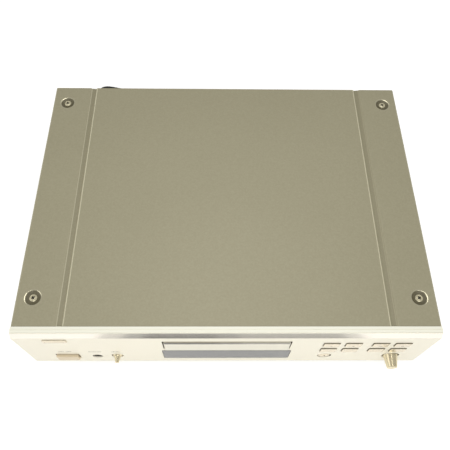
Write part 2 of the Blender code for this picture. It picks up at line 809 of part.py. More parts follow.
def make_front_frame():
    frame, (front, rear) = make_sheet_frame("front_frame", FRAME_FRONT, 1, FRONT_SCREW_DEPTH)
    low, high = front - OVERRUN, rear + OVERRUN
    holes = bmesh.new()
    x, z = tray_opening()
    block(holes, x, (low, high), z)
    x, z = window_opening()
    block(holes, x, (low, high), z)
    row_high = up(max(BUTTON_ROWS)) + BUTTON_HEIGHT
    row_low = up(min(BUTTON_ROWS)) - BUTTON_HEIGHT
    for left, right in (BUTTON_CENTRES[:2], BUTTON_CENTRES[2:]):
        block(holes, grown((left, right), BUTTON_WIDTH / 2 + 2 * BUTTON_FLANGE), (low, high),
              (row_low, row_high))
    for x, z, radius in (
        (ROUND_BUTTON_CENTRE, ROUND_BUTTON_Z, ROUND_BUTTON_RECESS),
        (SELECT_CENTRE, SELECT_Z, SELECT_RECESS),
        (LEVEL_CENTRE, LEVEL_Z, LEVEL_RECESS),
        (JACK_CENTRE, JACK_Z, JACK_RADIUS),
    ):
        rod(holes, "Y", (x, up(z)), radius + BUTTON_FLANGE, low, high, sides=12)
    block(holes, span(POWER_CENTRE, POWER_WIDTH + 2 * CLEARANCE), (low, high),
          span(up(POWER_Z), POWER_HEIGHT + 2 * CLEARANCE))
    cut(frame, holes)


# Front panel pieces


def make_name_plate():
    mesh = bmesh.new()
    near = back(-NAME_PLATE_THICKNESS - CLEARANCE)
    block(mesh, span(NAME_PLATE_CENTRE, NAME_PLATE_WIDTH), (near, back(-CLEARANCE)),
          span(up(NAME_PLATE_Z), NAME_PLATE_HEIGHT))
    part("name_plate", mesh, "pale_metal")


def make_window():
    x, z = window_opening()
    outline = round_corners(grown(x, -CLEARANCE), grown(z, -CLEARANCE), WINDOW_ROUND)
    seat = WEB_THICKNESS + CLEARANCE
    mesh = bmesh.new()
    prism(mesh, outline, "Y", back(WINDOW_RECESS), back(seat + WINDOW_THICKNESS))
    window = part("display_window", mesh, "smoked", smooth=True)
    flange = bmesh.new()
    by = WINDOW_FLANGE - CLEARANCE
    block(flange, grown(x, by), (back(seat), back(seat + WINDOW_THICKNESS)), grown(z, by))
    add(window, flange)


def make_display_module():
    x, z = window_opening()
    rear = back(FRONT_BOARD_DEPTH - CLEARANCE)
    mesh = bmesh.new()
    block(mesh, span(sum(x) / 2, DISPLAY_WIDTH), (rear - DISPLAY_THICKNESS, rear),
          span(sum(z) / 2, DISPLAY_HEIGHT))
    soften(part("display_module", mesh, "smoked"), CLEARANCE)


def make_tray_front():
    x, z = tray_opening()
    x, z = grown(x, -FASCIA_SIDE_GAP), grown(z, -FASCIA_EDGE_GAP)
    front, rear = back(-FASCIA_PROUD), back(FASCIA_THICKNESS - FASCIA_PROUD)
    outline = [
        (front, z[0]),
        (front, z[1] - FASCIA_BEVEL),
        (front + FASCIA_BEVEL, z[1]),
        (rear, z[1]),
        (rear, z[0]),
    ]
    mesh = bmesh.new()
    prism(mesh, outline, "X", x[0], x[1])
    soften(part("tray_front", mesh, "pale_metal"), CLEARANCE)


def button_end():
    # Depth where a button's stem stops, clear of the switch when the button is pushed in.
    return FRONT_BOARD_DEPTH - SWITCH_HEIGHT - PLUNGER_HEIGHT - BUTTON_TRAVEL - 2 * CLEARANCE


def make_buttons():
    flange_front = PANEL_DEPTH + CLEARANCE
    flange_rear = flange_front + BUTTON_FLANGE_THICKNESS
    half, wide, stem = BUTTON_WIDTH / 2, BUTTON_WIDTH / 2 + BUTTON_FLANGE, BUTTON_STEM / 2
    side = [
        (half, -BUTTON_PROUD),
        (half, flange_front),
        (wide, flange_front),
        (wide, flange_rear),
        (stem, flange_rear),
        (stem, button_end()),
    ]
    for number, (x, z) in enumerate(button_places(), start=1):
        right = [(x + u, back(depth)) for u, depth in side]
        left = [(x - u, back(depth)) for u, depth in reversed(side)]
        mesh = bmesh.new()
        prism(mesh, right + left, "Z", *span(up(z), BUTTON_HEIGHT))
        button = part(f"button_{number}", mesh, "pale_metal", origin=(x, back(0), up(z)))
        soften(button, BUTTON_EDGE)


def make_round_button():
    flange_front = PANEL_DEPTH + CLEARANCE
    flange_rear = flange_front + BUTTON_FLANGE_THICKNESS
    wide = ROUND_BUTTON_RECESS + BUTTON_FLANGE / 2
    radius, dome = ROUND_BUTTON_RADIUS, ROUND_BUTTON_DOME
    profile = [
        (0, back(-dome)),
        (radius / 2, back(-dome * DOME_MIDDLE_SHARE)),
        (radius - dome, back(-dome * DOME_EDGE_SHARE)),
        (radius, back(dome)),
        (radius, back(flange_front)),
        (wide, back(flange_front)),
        (wide, back(flange_rear)),
        (BUTTON_STEM / 2, back(flange_rear)),
        (BUTTON_STEM / 2, back(button_end())),
        (0, back(button_end())),
    ]
    centre = (ROUND_BUTTON_CENTRE, up(ROUND_BUTTON_Z))
    mesh = bmesh.new()
    turned(mesh, "Y", centre, profile, sides=20)
    origin = (centre[0], back(0), centre[1])
    part("round_button", mesh, "pale_metal", origin=origin, smooth=True)


def power_switch_front():
    return FRAME_FRONT + FRAME_FLANGE + CLEARANCE


def make_power_button():
    cap_end = FRAME_FRONT + SHEET + POWER_TRAVEL
    stem_end = power_switch_front() - POWER_TRAVEL - CLEARANCE
    half, stem = POWER_WIDTH / 2, POWER_HEIGHT / 4
    side = [(half, -POWER_PROUD), (half, cap_end), (stem, cap_end), (stem, stem_end)]
    right = [(POWER_CENTRE + u, back(depth)) for u, depth in side]
    left = [(POWER_CENTRE - u, back(depth)) for u, depth in reversed(side)]
    mesh = bmesh.new()
    prism(mesh, right + left, "Z", *span(up(POWER_Z), POWER_HEIGHT))
    origin = (POWER_CENTRE, back(0), up(POWER_Z))
    soften(part("power_button", mesh, "pale_metal", origin=origin), POWER_RIM / 2)


def make_power_switch():
    front = power_switch_front()
    mesh = bmesh.new()
    block(mesh, span(POWER_CENTRE, POWER_SWITCH_WIDTH), (back(front), back(front + POWER_SWITCH_LENGTH)),
          (up(FLOOR_TOP + CLEARANCE), up(POWER_Z + POWER_HEIGHT / 2)))
    part("power_switch", mesh, "black_plastic")


def make_knob(name, centre, base, tip, reach, tail, shaft, bore_depth, sides):
    # A tapered knob with a softened tip and a bore for its shaft.
    edge = tip * KNOB_EDGE_SHARE
    bore = shaft + CLEARANCE
    profile = [
        (0, back(-reach)),
        (tip - edge, back(-reach)),
        (tip, back(edge - reach)),
        (base, back(-reach * KNOB_EDGE_SHARE)),
        (base, back(tail)),
        (bore, back(tail)),
        (bore, back(tail - bore_depth)),
        (0, back(tail - bore_depth)),
    ]
    mesh = bmesh.new()
    turned(mesh, "Y", centre, profile, sides=sides)
    return part(name, mesh, "pale_metal", origin=(centre[0], back(0), centre[1]), smooth=True)


def make_knobs():
    select = (SELECT_CENTRE, up(SELECT_Z))
    level = (LEVEL_CENTRE, up(LEVEL_Z))
    make_knob("select_knob", select, SELECT_BASE_RADIUS, SELECT_TIP_RADIUS, SELECT_REACH,
              SELECT_TAIL, SELECT_SHAFT_RADIUS, SELECT_BORE_DEPTH, 24)
    make_knob("level_knob", level, LEVEL_BASE_RADIUS, LEVEL_TIP_RADIUS, LEVEL_REACH,
              LEVEL_TAIL, LEVEL_SHAFT_RADIUS, LEVEL_BORE_DEPTH, 16)


def make_control(name, centre, width, shaft, shaft_end, finish):
    # A body on the front board with a shaft that reaches into its knob.
    rear = back(FRONT_BOARD_DEPTH - CLEARANCE)
    front = rear - CONTROL_BODY_DEPTH
    mesh = bmesh.new()
    block(mesh, span(centre[0], width), (front, rear), span(centre[1], width))
    control = part(name, mesh, finish)
    shafts = bmesh.new()
    rod(shafts, "Y", centre, shaft, back(shaft_end), (front + rear) / 2, sides=16)
    add(control, shafts)


def make_controls():
    make_control("select_encoder", (SELECT_CENTRE, up(SELECT_Z)), CONTROL_BODY_WIDTH,
                 SELECT_SHAFT_RADIUS, SELECT_TAIL - SELECT_BORE_DEPTH + CLEARANCE, "zinc")
    make_control("level_pot", (LEVEL_CENTRE, up(LEVEL_Z)), LEVEL_BODY_WIDTH,
                 LEVEL_SHAFT_RADIUS, LEVEL_TAIL - LEVEL_BORE_DEPTH + CLEARANCE, "zinc")


def make_headphone_socket():
    centre = (JACK_CENTRE, up(JACK_Z))
    body_front = FRAME_FRONT + SHEET + CLEARANCE
    body_rear = body_front + JACK_LENGTH
    mesh = bmesh.new()
    block(mesh, span(JACK_CENTRE, JACK_BODY_WIDTH), (back(body_front), back(body_rear)),
          (up(FRAME_BOTTOM + SHEET + CLEARANCE), up(JACK_Z + JACK_BODY_WIDTH / 2)))
    socket = part("headphone_socket", mesh, "gold")
    neck = bmesh.new()
    rod(neck, "Y", centre, JACK_RING_RADIUS, back(JACK_RECESS), back(body_front + OVERRUN), sides=24)
    add(socket, neck)
    bore = bmesh.new()
    rod(bore, "Y", centre, JACK_BORE, back(JACK_RECESS - OVERRUN), back(body_rear - OVERRUN), sides=20)
    cut(socket, bore)


def make_front_board():
    x = tray_opening()[0]
    left = JACK_CENTRE + JACK_BODY_WIDTH / 2 + 2 * CLEARANCE
    low, high = up(FRONT_BOARD_BOTTOM), up(FRONT_BOARD_TOP)
    notch = up(WINDOW_TOP)
    outline = [
        (left, low), (BOARD_RIGHT, low), (BOARD_RIGHT, high), (x[1] + WINDOW_FLANGE, high),
        (x[1] + WINDOW_FLANGE, notch), (x[0] - WINDOW_FLANGE, notch),
        (x[0] - WINDOW_FLANGE, high), (left, high),
    ]
    mesh = bmesh.new()
    prism(mesh, outline, "Y", back(FRONT_BOARD_DEPTH), back(BOARD_BACK))
    board = part("front_board", mesh, "board_tan")
    posts = bmesh.new()
    start = back(FRAME_FRONT + SHEET + CLEARANCE)
    for side in (-1, 1):
        for z in BOARD_POST_HEIGHTS:
            centre = (side * BOARD_POST_X, up(z))
            rod(posts, "Y", centre, SPACER_RADIUS, start, back(BOARD_BACK) - BOARD_THICKNESS / 2, sides=10)
    add(board, posts)
    add_button_switches(board)


def add_button_switches(board):
    # One push switch behind each button: a square body with a round plunger.
    places = button_places() + [(ROUND_BUTTON_CENTRE, ROUND_BUTTON_Z)]
    rear = back(FRONT_BOARD_DEPTH)
    front = rear - SWITCH_HEIGHT
    bodies, plungers = bmesh.new(), bmesh.new()
    for x, z in places:
        block(bodies, span(x, SWITCH_WIDTH), (front, rear + BOARD_THICKNESS / 2), span(up(z), SWITCH_WIDTH))
        rod(plungers, "Y", (x, up(z)), PLUNGER_RADIUS, front - PLUNGER_HEIGHT,
            front + SWITCH_HEIGHT / 2, sides=6)
    add(board, bodies)
    add(board, plungers)


# Disc tray and its drive


def make_disc_tray():
    half, slot = TRAY_WIDTH / 2, TRAY_SLOT_WIDTH / 2
    front, rear = back(TRAY_START), back(TRAY_END)
    slot_front = back(DISC_DEPTH) - slot
    outline = [
        (-half, front), (half, front), (half, rear), (slot, rear),
        (slot, slot_front), (-slot, slot_front), (-slot, rear), (-half, rear),
    ]
    top = up(DECK_TOP)
    mesh = bmesh.new()
    prism(mesh, outline, "Z", up(TRAY_FLOOR_Z), top)
    tray = part("disc_tray", mesh, "black_plastic")
    centre = (0, back(DISC_DEPTH))
    floor = up(DISC_FLOOR)
    recess = [
        (0, top + OVERRUN),
        (DISC_RECESS_RADIUS, top + OVERRUN),
        (DISC_RECESS_RADIUS, floor),
        (SMALL_DISC_RADIUS, floor),
        (SMALL_DISC_RADIUS, floor - SMALL_DISC_DEPTH),
        (0, floor - SMALL_DISC_DEPTH),
    ]
    wells = bmesh.new()
    turned(wells, "Z", centre, recess, sides=40)
    cut(tray, wells)
    rack = bmesh.new()
    teeth = rack_outline(RACK_LINE, -1, RACK_LINE + RACK_WIDTH, back(RACK_START), GEAR_MODULE, RACK_TEETH)
    prism(rack, teeth, "Z", up(RACK_BOTTOM), up(TRAY_FLOOR_Z) + SMALL_DISC_DEPTH / 2)
    add(tray, rack)


def loader_outline():
    # The loader's cross-section in (X, Z): a floor, two walls, and on each a ledge and a keeper.
    inner, outer = LOADER_HALF, LOADER_HALF + LOADER_WALL
    ledge = inner - LOADER_RAIL
    ledge_top, keeper_low = TRAY_FLOOR_Z - CLEARANCE, DECK_TOP + CLEARANCE
    right = [
        (outer, LOADER_FLOOR_Z),
        (outer, LOADER_TOP),
        (inner, LOADER_TOP),
        (inner, keeper_low + LOADER_RAIL_THICKNESS),
        (ledge, keeper_low + LOADER_RAIL_THICKNESS),
        (ledge, keeper_low),
        (inner, keeper_low),
        (inner, ledge_top),
        (ledge, ledge_top),
        (ledge, ledge_top - LOADER_RAIL_THICKNESS),
        (inner, ledge_top - LOADER_RAIL_THICKNESS),
        (inner, FLOOR_LEVEL),
    ]
    both = right + [(-x, z) for x, z in reversed(right)]
    return [(x, up(z)) for x, z in both]


def make_loader_frame():
    mesh = bmesh.new()
    front, rear = back(LOADER_START), back(LOADER_START + LOADER_LENGTH)
    prism(mesh, loader_outline(), "Y", front, rear)
    frame = part("loader_frame", mesh, "black_plastic")
    openings = bmesh.new()
    window_start = back(PLAY_WINDOW_START)
    block(openings, span(0, PLAY_WINDOW_WIDTH), (window_start, window_start + PLAY_WINDOW_LENGTH),
          (up(LOADER_FLOOR_Z) - OVERRUN, up(FLOOR_LEVEL) + OVERRUN))
    motor_hole = MOTOR_SHAFT_RADIUS + CLEARANCE
    rod(openings, "Z", (PULLEY_X - BELT_REACH, back(TRAY_GEAR_DEPTH)), motor_hole,
        up(LOADER_FLOOR_Z) - OVERRUN, up(FLOOR_LEVEL) + OVERRUN, sides=12)
    cut(frame, openings)
    posts = bmesh.new()
    middle = up(LOADER_FLOOR_Z) + LOADER_FLOOR / 2
    leg_x = LOADER_HALF + LOADER_WALL - LOADER_LEG_WIDTH / 2
    for side in (-1, 1):
        for y in ((front, front + LOADER_LEG_WIDTH), (rear - LOADER_LEG_WIDTH, rear)):
            block(posts, span(side * leg_x, LOADER_LEG_WIDTH), y, (up(FLOOR_TOP + CLEARANCE), middle))
    for x, shoulder, top in (
        (TRAY_GEAR_X, WHEEL_TOP - WHEEL_HEIGHT, GEAR_TOP),
        (PULLEY_X, PULLEY_TOP - PULLEY_HEIGHT, WHEEL_TOP),
    ):
        stud = [
            (0, middle),
            (2 * STUD_RADIUS, middle),
            (2 * STUD_RADIUS, up(shoulder) - CLEARANCE),
            (STUD_RADIUS, up(shoulder) - CLEARANCE),
            (STUD_RADIUS, up(top)),
            (0, up(top)),
        ]
        turned(posts, "Z", (x, back(TRAY_GEAR_DEPTH)), stud, sides=16)
    for side in (-1, 1):
        near = side * (TRAVERSE_WIDTH / 2 + PIVOT_LENGTH - EAR_WIDTH / 2)
        block(posts, span(near, EAR_WIDTH), span(back(PIVOT_DEPTH), EAR_LENGTH),
              (middle, up(PIVOT_Z) + 2 * PIVOT_RADIUS))
    add(frame, posts)
    bores = bmesh.new()
    reach = TRAVERSE_WIDTH / 2 + PIVOT_LENGTH + OVERRUN
    rod(bores, "X", (back(PIVOT_DEPTH), up(PIVOT_Z)), PIVOT_RADIUS + CLEARANCE, -reach, reach, sides=16)
    cut(frame, bores)


def make_gear(name, x, tiers, finish):
    # Toothed or plain tiers stacked on one bore. Each is an outline maker with its low and high.
    centre = (x, back(TRAY_GEAR_DEPTH))
    first, *others = tiers
    mesh = bmesh.new()
    prism(mesh, first[0], "Z", up(first[1]), up(first[2]))
    gear = part(name, mesh, finish, origin=(x, back(TRAY_GEAR_DEPTH), up(tiers[0][1])))
    for outline, low, high in others:
        tier = bmesh.new()
        prism(tier, outline, "Z", up(low), up(high))
        add(gear, tier)
    bore = bmesh.new()
    low = min(tier[1] for tier in tiers)
    high = max(tier[2] for tier in tiers)
    rod(bore, "Z", centre, STUD_RADIUS + CLEARANCE, up(low) - OVERRUN, up(high) + OVERRUN, sides=16)
    cut(gear, bore)


def make_tray_gear():
    y = back(TRAY_GEAR_DEPTH)
    wheel = gear_outline(TRAY_GEAR_X, y, GEAR_MODULE, TRAY_WHEEL_TEETH)
    pinion = gear_outline(TRAY_GEAR_X, y, GEAR_MODULE, TRAY_GEAR_TEETH)
    bottom = WHEEL_TOP - WHEEL_HEIGHT
    make_gear("tray_gear", TRAY_GEAR_X, [
        (wheel, bottom, WHEEL_TOP),
        (pinion, WHEEL_TOP - WHEEL_HEIGHT / 2, GEAR_TOP - CLEARANCE),
    ], "white_plastic")


def pulley_profile(radius, low):
    # A grooved pulley between two rims, as points (radius, height).
    rim = PULLEY_HEIGHT / 5
    groove = radius - PULLEY_RIM
    return [
        (radius, low), (radius, low + rim), (groove, low + rim),
        (groove, low + PULLEY_HEIGHT - rim), (radius, low + PULLEY_HEIGHT - rim),
        (radius, low + PULLEY_HEIGHT),
    ]


def make_pulley_gear():
    y = back(TRAY_GEAR_DEPTH)
    low = up(PULLEY_TOP - PULLEY_HEIGHT)
    bore = STUD_RADIUS + CLEARANCE
    profile = [(bore, low)] + pulley_profile(PULLEY_RADIUS, low) + [(bore, low + PULLEY_HEIGHT)]
    mesh = bmesh.new()
    turned(mesh, "Z", (PULLEY_X, y), profile, sides=18, closed=True)
    gear = part("pulley_gear", mesh, "white_plastic", origin=(PULLEY_X, y, low), smooth=True)
    half_tooth = math.pi / PULLEY_PINION_TEETH
    teeth = gear_outline(PULLEY_X, y, GEAR_MODULE, PULLEY_PINION_TEETH, half_tooth)
    pinion, hole = bmesh.new(), bmesh.new()
    prism(pinion, teeth, "Z", low + PULLEY_HEIGHT / 2, up(WHEEL_TOP) - CLEARANCE)
    add(gear, pinion)
    rod(hole, "Z", (PULLEY_X, y), bore, low - OVERRUN, up(WHEEL_TOP) + OVERRUN, sides=18)
    cut(gear, hole)


def make_motor_pulley():
    x, y = PULLEY_X - BELT_REACH, back(TRAY_GEAR_DEPTH)
    low = up(PULLEY_TOP - PULLEY_HEIGHT)
    bore = MOTOR_SHAFT_RADIUS + CLEARANCE
    profile = [(bore, low)] + pulley_profile(MOTOR_PULLEY_RADIUS, low) + [(bore, low + PULLEY_HEIGHT)]
    mesh = bmesh.new()
    turned(mesh, "Z", (x, y), profile, sides=16, closed=True)
    part("motor_pulley", mesh, "white_plastic", origin=(x, y, low), smooth=True)


def make_loading_motor():
    centre = (PULLEY_X - BELT_REACH, back(TRAY_GEAR_DEPTH))
    top = up(LOADER_FLOOR_Z) - CLEARANCE
    profile = [
        (0, top - MOTOR_LENGTH),
        (MOTOR_RADIUS, top - MOTOR_LENGTH),
        (MOTOR_RADIUS, top),
        (MOTOR_SHAFT_RADIUS, top),
        (MOTOR_SHAFT_RADIUS, up(PULLEY_TOP)),
        (0, up(PULLEY_TOP)),
    ]
    mesh = bmesh.new()
    turned(mesh, "Z", centre, profile, sides=20)
    part("loading_motor", mesh, "steel", smooth=True)


def belt_loop(offset, steps=10):
    # The loop round both pulleys at an offset outside their grooves.
    large = PULLEY_RADIUS - PULLEY_RIM + offset
    small = MOTOR_PULLEY_RADIUS - PULLEY_RIM + offset
    lean = math.acos((large - small) / BELT_REACH)
    y = back(TRAY_GEAR_DEPTH)
    points = []
    for x, radius, start, end in (
        (PULLEY_X, large, lean - math.pi, math.pi - lean),
        (PULLEY_X - BELT_REACH, small, math.pi - lean, math.pi + lean),
    ):
        for i in range(steps + 1):
            angle = start + (end - start) * i / steps
            points.append((x + radius * math.cos(angle), y + radius * math.sin(angle)))
    return points


def make_drive_belt():
    inner = belt_loop(CLEARANCE)
    outer = belt_loop(CLEARANCE + BELT_THICKNESS)
    rim = PULLEY_HEIGHT / 5 + CLEARANCE
    low = up(PULLEY_TOP - PULLEY_HEIGHT) + rim
    high = up(PULLEY_TOP) - rim
    mesh = bmesh.new()
    rows = [
        [mesh.verts.new((x, y, z)) for x, y in line]
        for line, z in ((inner, low), (inner, high), (outer, high), (outer, low))
    ]
    faces = []
    for one, two in zip(rows, rows[1:] + rows[:1]):
        for i in range(len(inner)):
            j = (i + 1) % len(inner)
            faces.append(mesh.faces.new((one[i], two[i], two[j], one[j])))
    bmesh.ops.recalc_face_normals(mesh, faces=faces)
    part("drive_belt", mesh, "black_rubber", smooth=True)


def make_clamp():
    low = up(LOADER_TOP) + CLEARANCE
    high = low + BRIDGE_THICKNESS
    outer = LOADER_HALF + LOADER_WALL
    mesh = bmesh.new()
    block(mesh, (-outer, outer), span(back(DISC_DEPTH), 2 * PUCK_RADIUS + BRIDGE_WIDTH / 4), (low, high))
    bridge = part("clamp_bridge", mesh, "zinc")
    centre = (0, back(DISC_DEPTH))
    hole = bmesh.new()
    rod(hole, "Z", centre, PUCK_NECK + CLEARANCE, low - OVERRUN, high + OVERRUN, sides=32)
    cut(bridge, hole)
    bottom = up(DECK_TOP) + CLEARANCE
    recess = up(PLATTER_TOP) + PLATTER_CONE_HEIGHT + CLEARANCE
    profile = [
        (0, recess),
        (PUCK_RECESS, recess),
        (PUCK_RECESS, bottom),
        (PUCK_RADIUS, bottom),
        (PUCK_RADIUS, low - CLEARANCE),
        (PUCK_NECK, low - CLEARANCE),
        (PUCK_NECK, high + CLEARANCE),
        (PUCK_FLANGE, high + CLEARANCE),
        (PUCK_FLANGE, high + CLEARANCE + PUCK_FLANGE_THICKNESS),
        (0, high + CLEARANCE + PUCK_FLANGE_THICKNESS),
    ]
    mesh = bmesh.new()
    turned(mesh, "Z", centre, profile, sides=18)
    part("clamp_puck", mesh, "black_plastic", origin=(0, centre[1], bottom), smooth=True)


# Traverse, spindle and laser sled


def make_traverse():
    low, high = up(TRAVERSE_BOTTOM), up(TRAVERSE_TOP)
    start, end = back(TRAVERSE_START), back(TRAVERSE_START + TRAVERSE_LENGTH)
    mesh = bmesh.new()
    block(mesh, span(0, TRAVERSE_WIDTH), (start, end), (low, high))
    origin = (0, back(PIVOT_DEPTH), up(PIVOT_Z))
    frame = part("traverse_frame", mesh, "black_plastic", origin=origin)
    holders = bmesh.new()
    middle = low + TRAVERSE_THICKNESS / 2
    rod_front = DISC_DEPTH + ROD_START
    top = high + CLEARANCE + SLED_BASE_HEIGHT
    for side in (-1, 1):
        for depth in (rod_front, rod_front + ROD_LENGTH - ROD_HOLDER):
            block(holders, span(side * ROD_SPREAD, 4 * ROD_RADIUS),
                  (back(depth), back(depth + ROD_HOLDER)), (middle, top))
        pin = sorted((side * (TRAVERSE_WIDTH / 2 - PIVOT_LENGTH / 2),
                      side * (TRAVERSE_WIDTH / 2 + PIVOT_LENGTH)))
        rod(holders, "X", (origin[1], origin[2]), PIVOT_RADIUS * PIVOT_PIN_SHARE, pin[0], pin[1], sides=14)
    add(frame, holders)
    holes = bmesh.new()
    rod(holes, "Z", (0, back(DISC_DEPTH)), PLATTER_HUB_RADIUS, low - OVERRUN, high + OVERRUN, sides=20)
    rod(holes, "Z", (SLED_PINION_X, back(SLED_PINION_DEPTH)), SPINDLE_SHAFT_RADIUS + CLEARANCE,
        low - OVERRUN, high + OVERRUN, sides=12)
    for side in (-1, 1):
        rod(holes, "Y", (side * ROD_SPREAD, up(ROD_Z)), ROD_RADIUS + CLEARANCE,
            back(rod_front) - OVERRUN, back(rod_front + ROD_LENGTH) + OVERRUN, sides=14)
    cut(frame, holes)


def make_sled_rods():
    start, end = back(DISC_DEPTH + ROD_START), back(DISC_DEPTH + ROD_START + ROD_LENGTH)
    for side, sign in (("left", -1), ("right", 1)):
        mesh = bmesh.new()
        rod(mesh, "Y", (sign * ROD_SPREAD, up(ROD_Z)), ROD_RADIUS, start, end, 14)
        part(f"sled_rod_{side}", mesh, "steel", smooth=True)


def make_small_motor(name, centre, radius, height, shaft_top):
    # A flat motor under the traverse, with its shaft up through the plate.
    top = up(TRAVERSE_BOTTOM) - CLEARANCE
    profile = [
        (0, top - height),
        (radius, top - height),
        (radius, top),
        (SPINDLE_SHAFT_RADIUS, top),
        (SPINDLE_SHAFT_RADIUS, shaft_top),
        (0, shaft_top),
    ]
    mesh = bmesh.new()
    turned(mesh, "Z", centre, profile, sides=20)
    part(name, mesh, "steel", smooth=True)


def make_spindle():
    centre = (0, back(DISC_DEPTH))
    low, top = up(TRAVERSE_TOP) + CLEARANCE, up(PLATTER_TOP)
    make_small_motor("spindle_motor", centre, SPINDLE_MOTOR_RADIUS, SPINDLE_MOTOR_HEIGHT,
                     top - PLATTER_THICKNESS)
    bore = SPINDLE_SHAFT_RADIUS + CLEARANCE
    profile = [
        (bore, low),
        (PLATTER_HUB_RADIUS - CLEARANCE, low),
        (PLATTER_HUB_RADIUS - CLEARANCE, top - PLATTER_THICKNESS),
        (PLATTER_RADIUS, top - PLATTER_THICKNESS),
        (PLATTER_RADIUS, top),
        (PLATTER_CONE_RADIUS, top),
        (PLATTER_CONE_RADIUS * CONE_TIP_SHARE, top + PLATTER_CONE_HEIGHT),
        (0, top + PLATTER_CONE_HEIGHT),
        (0, top - PLATTER_THICKNESS + CLEARANCE),
        (bore, top - PLATTER_THICKNESS + CLEARANCE),
    ]
    mesh = bmesh.new()
    turned_shell(mesh, centre, profile)
    part("spindle_platter", mesh, "black_plastic", origin=(0, centre[1], low), smooth=True)


def turned_shell(mesh, centre, profile, sides=18):
    # A turned shape with a blind bore. Its two points on the axis become poles.
    poles = [i for i, (radius, _) in enumerate(profile) if radius == 0]
    outer = profile[:poles[0] + 1]
    inner = profile[poles[1]:] + [profile[0]]
    turned(mesh, "Z", centre, outer, sides=sides, caps=False)
    turned(mesh, "Z", centre, inner, sides=sides, caps=False)
    bmesh.ops.remove_doubles(mesh, verts=mesh.verts, dist=CLEARANCE / 10)
    bmesh.ops.recalc_face_normals(mesh, faces=mesh.faces)


def make_sled():
    low = up(TRAVERSE_TOP) + CLEARANCE
    start, end = back(SLED_FRONT), back(SLED_FRONT + SLED_LENGTH)
    mesh = bmesh.new()
    block(mesh, span(0, SLED_WIDTH), (start, end), (low, low + SLED_BASE_HEIGHT))
    lens_y = back(DISC_DEPTH + LENS_PLACE)
    sled = part("laser_sled", mesh, "black_plastic", origin=(0, lens_y, low))
    extra = bmesh.new()
    top_start = lens_y - LENS_RIM - CLEARANCE
    block(extra, span(0, SLED_TOP_WIDTH), (top_start, top_start + SLED_TOP_LENGTH),
          (low + SLED_BASE_HEIGHT / 4, low + SLED_TOP_HEIGHT))
    base = ROD_SPREAD + 2 * ROD_RADIUS + CLEARANCE
    teeth = rack_outline(SLED_RACK_LINE, 1, base, back(SLED_RACK_START), SLED_MODULE, SLED_RACK_TEETH)
    prism(extra, teeth, "Z", low + CLEARANCE, low + CLEARANCE + SLED_RACK_HEIGHT)
    add(sled, extra)
    bores = bmesh.new()
    for side in (-1, 1):
        rod(bores, "Y", (side * ROD_SPREAD, up(ROD_Z)), ROD_RADIUS + CLEARANCE,
            start - OVERRUN, end + OVERRUN, sides=14)
    cut(sled, bores)


def make_lens():
    centre = (0, back(DISC_DEPTH + LENS_PLACE))
    low = up(TRAVERSE_TOP) + SLED_TOP_HEIGHT + 2 * CLEARANCE
    rim = low + LENS_HEIGHT / 2
    profile = [
        (0, low),
        (LENS_RIM, low),
        (LENS_RIM, rim),
        (LENS_RADIUS, rim),
        (LENS_RADIUS * LENS_RIM_SHARE, low + LENS_HEIGHT * LENS_STEP_SHARE),
        (0, low + LENS_HEIGHT),
    ]
    mesh = bmesh.new()
    turned(mesh, "Z", centre, profile, sides=20)
    part("lens", mesh, "clear_lens", origin=(0, centre[1], low), smooth=True)


def make_sled_drive():
    centre = (SLED_PINION_X, back(SLED_PINION_DEPTH))
    low = up(TRAVERSE_TOP) + CLEARANCE
    top = low + CLEARANCE + SLED_RACK_HEIGHT
    make_small_motor("sled_motor", centre, SLED_MOTOR_RADIUS, SLED_MOTOR_HEIGHT, top)
    teeth = gear_outline(*centre, SLED_MODULE, SLED_PINION_TEETH)
    mesh = bmesh.new()
    prism(mesh, teeth, "Z", low, top)
    pinion = part("sled_pinion", mesh, "white_plastic", origin=(*centre, low))
    bore = bmesh.new()
    rod(bore, "Z", centre, SPINDLE_SHAFT_RADIUS + CLEARANCE, low - OVERRUN, top + OVERRUN, sides=14)
    cut(pinion, bore)


# Electronics


def make_main_board():
    low = up(FLOOR_TOP) + BOARD_LIFT
    high = low + BOARD_THICKNESS
    x = (MAIN_BOARD_LEFT, MAIN_BOARD_RIGHT)
    y = (back(MAIN_BOARD_START), back(MAIN_BOARD_START + MAIN_BOARD_LENGTH))
    mesh = bmesh.new()
    block(mesh, x, y, (low, high))
    board = part("main_board", mesh, "board_green")
    posts = bmesh.new()
    inset = 4 * SPACER_RADIUS
    foot = up(FLOOR_TOP) + CLEARANCE
    seat = high - BOARD_THICKNESS / 2
    for px in grown(x, -inset):
        for py in grown(y, -inset):
            rod(posts, "Z", (px, py), SPACER_RADIUS, foot, low + BOARD_THICKNESS / 2, 10)
    for shares in CHIP_SHARES:
        px, py = on_board(*shares)
        block(posts, span(px, CHIP_WIDTH), span(py, CHIP_WIDTH), (seat, high + CHIP_HEIGHT))
    for shares in CAN_SHARES:
        rod(posts, "Z", on_board(*shares), CAN_RADIUS, seat, high + CAN_HEIGHT, sides=10)
    add(board, posts)


def on_board(x_share, y_share):
    width = MAIN_BOARD_RIGHT - MAIN_BOARD_LEFT
    return (MAIN_BOARD_LEFT + x_share * width, back(MAIN_BOARD_START + y_share * MAIN_BOARD_LENGTH))


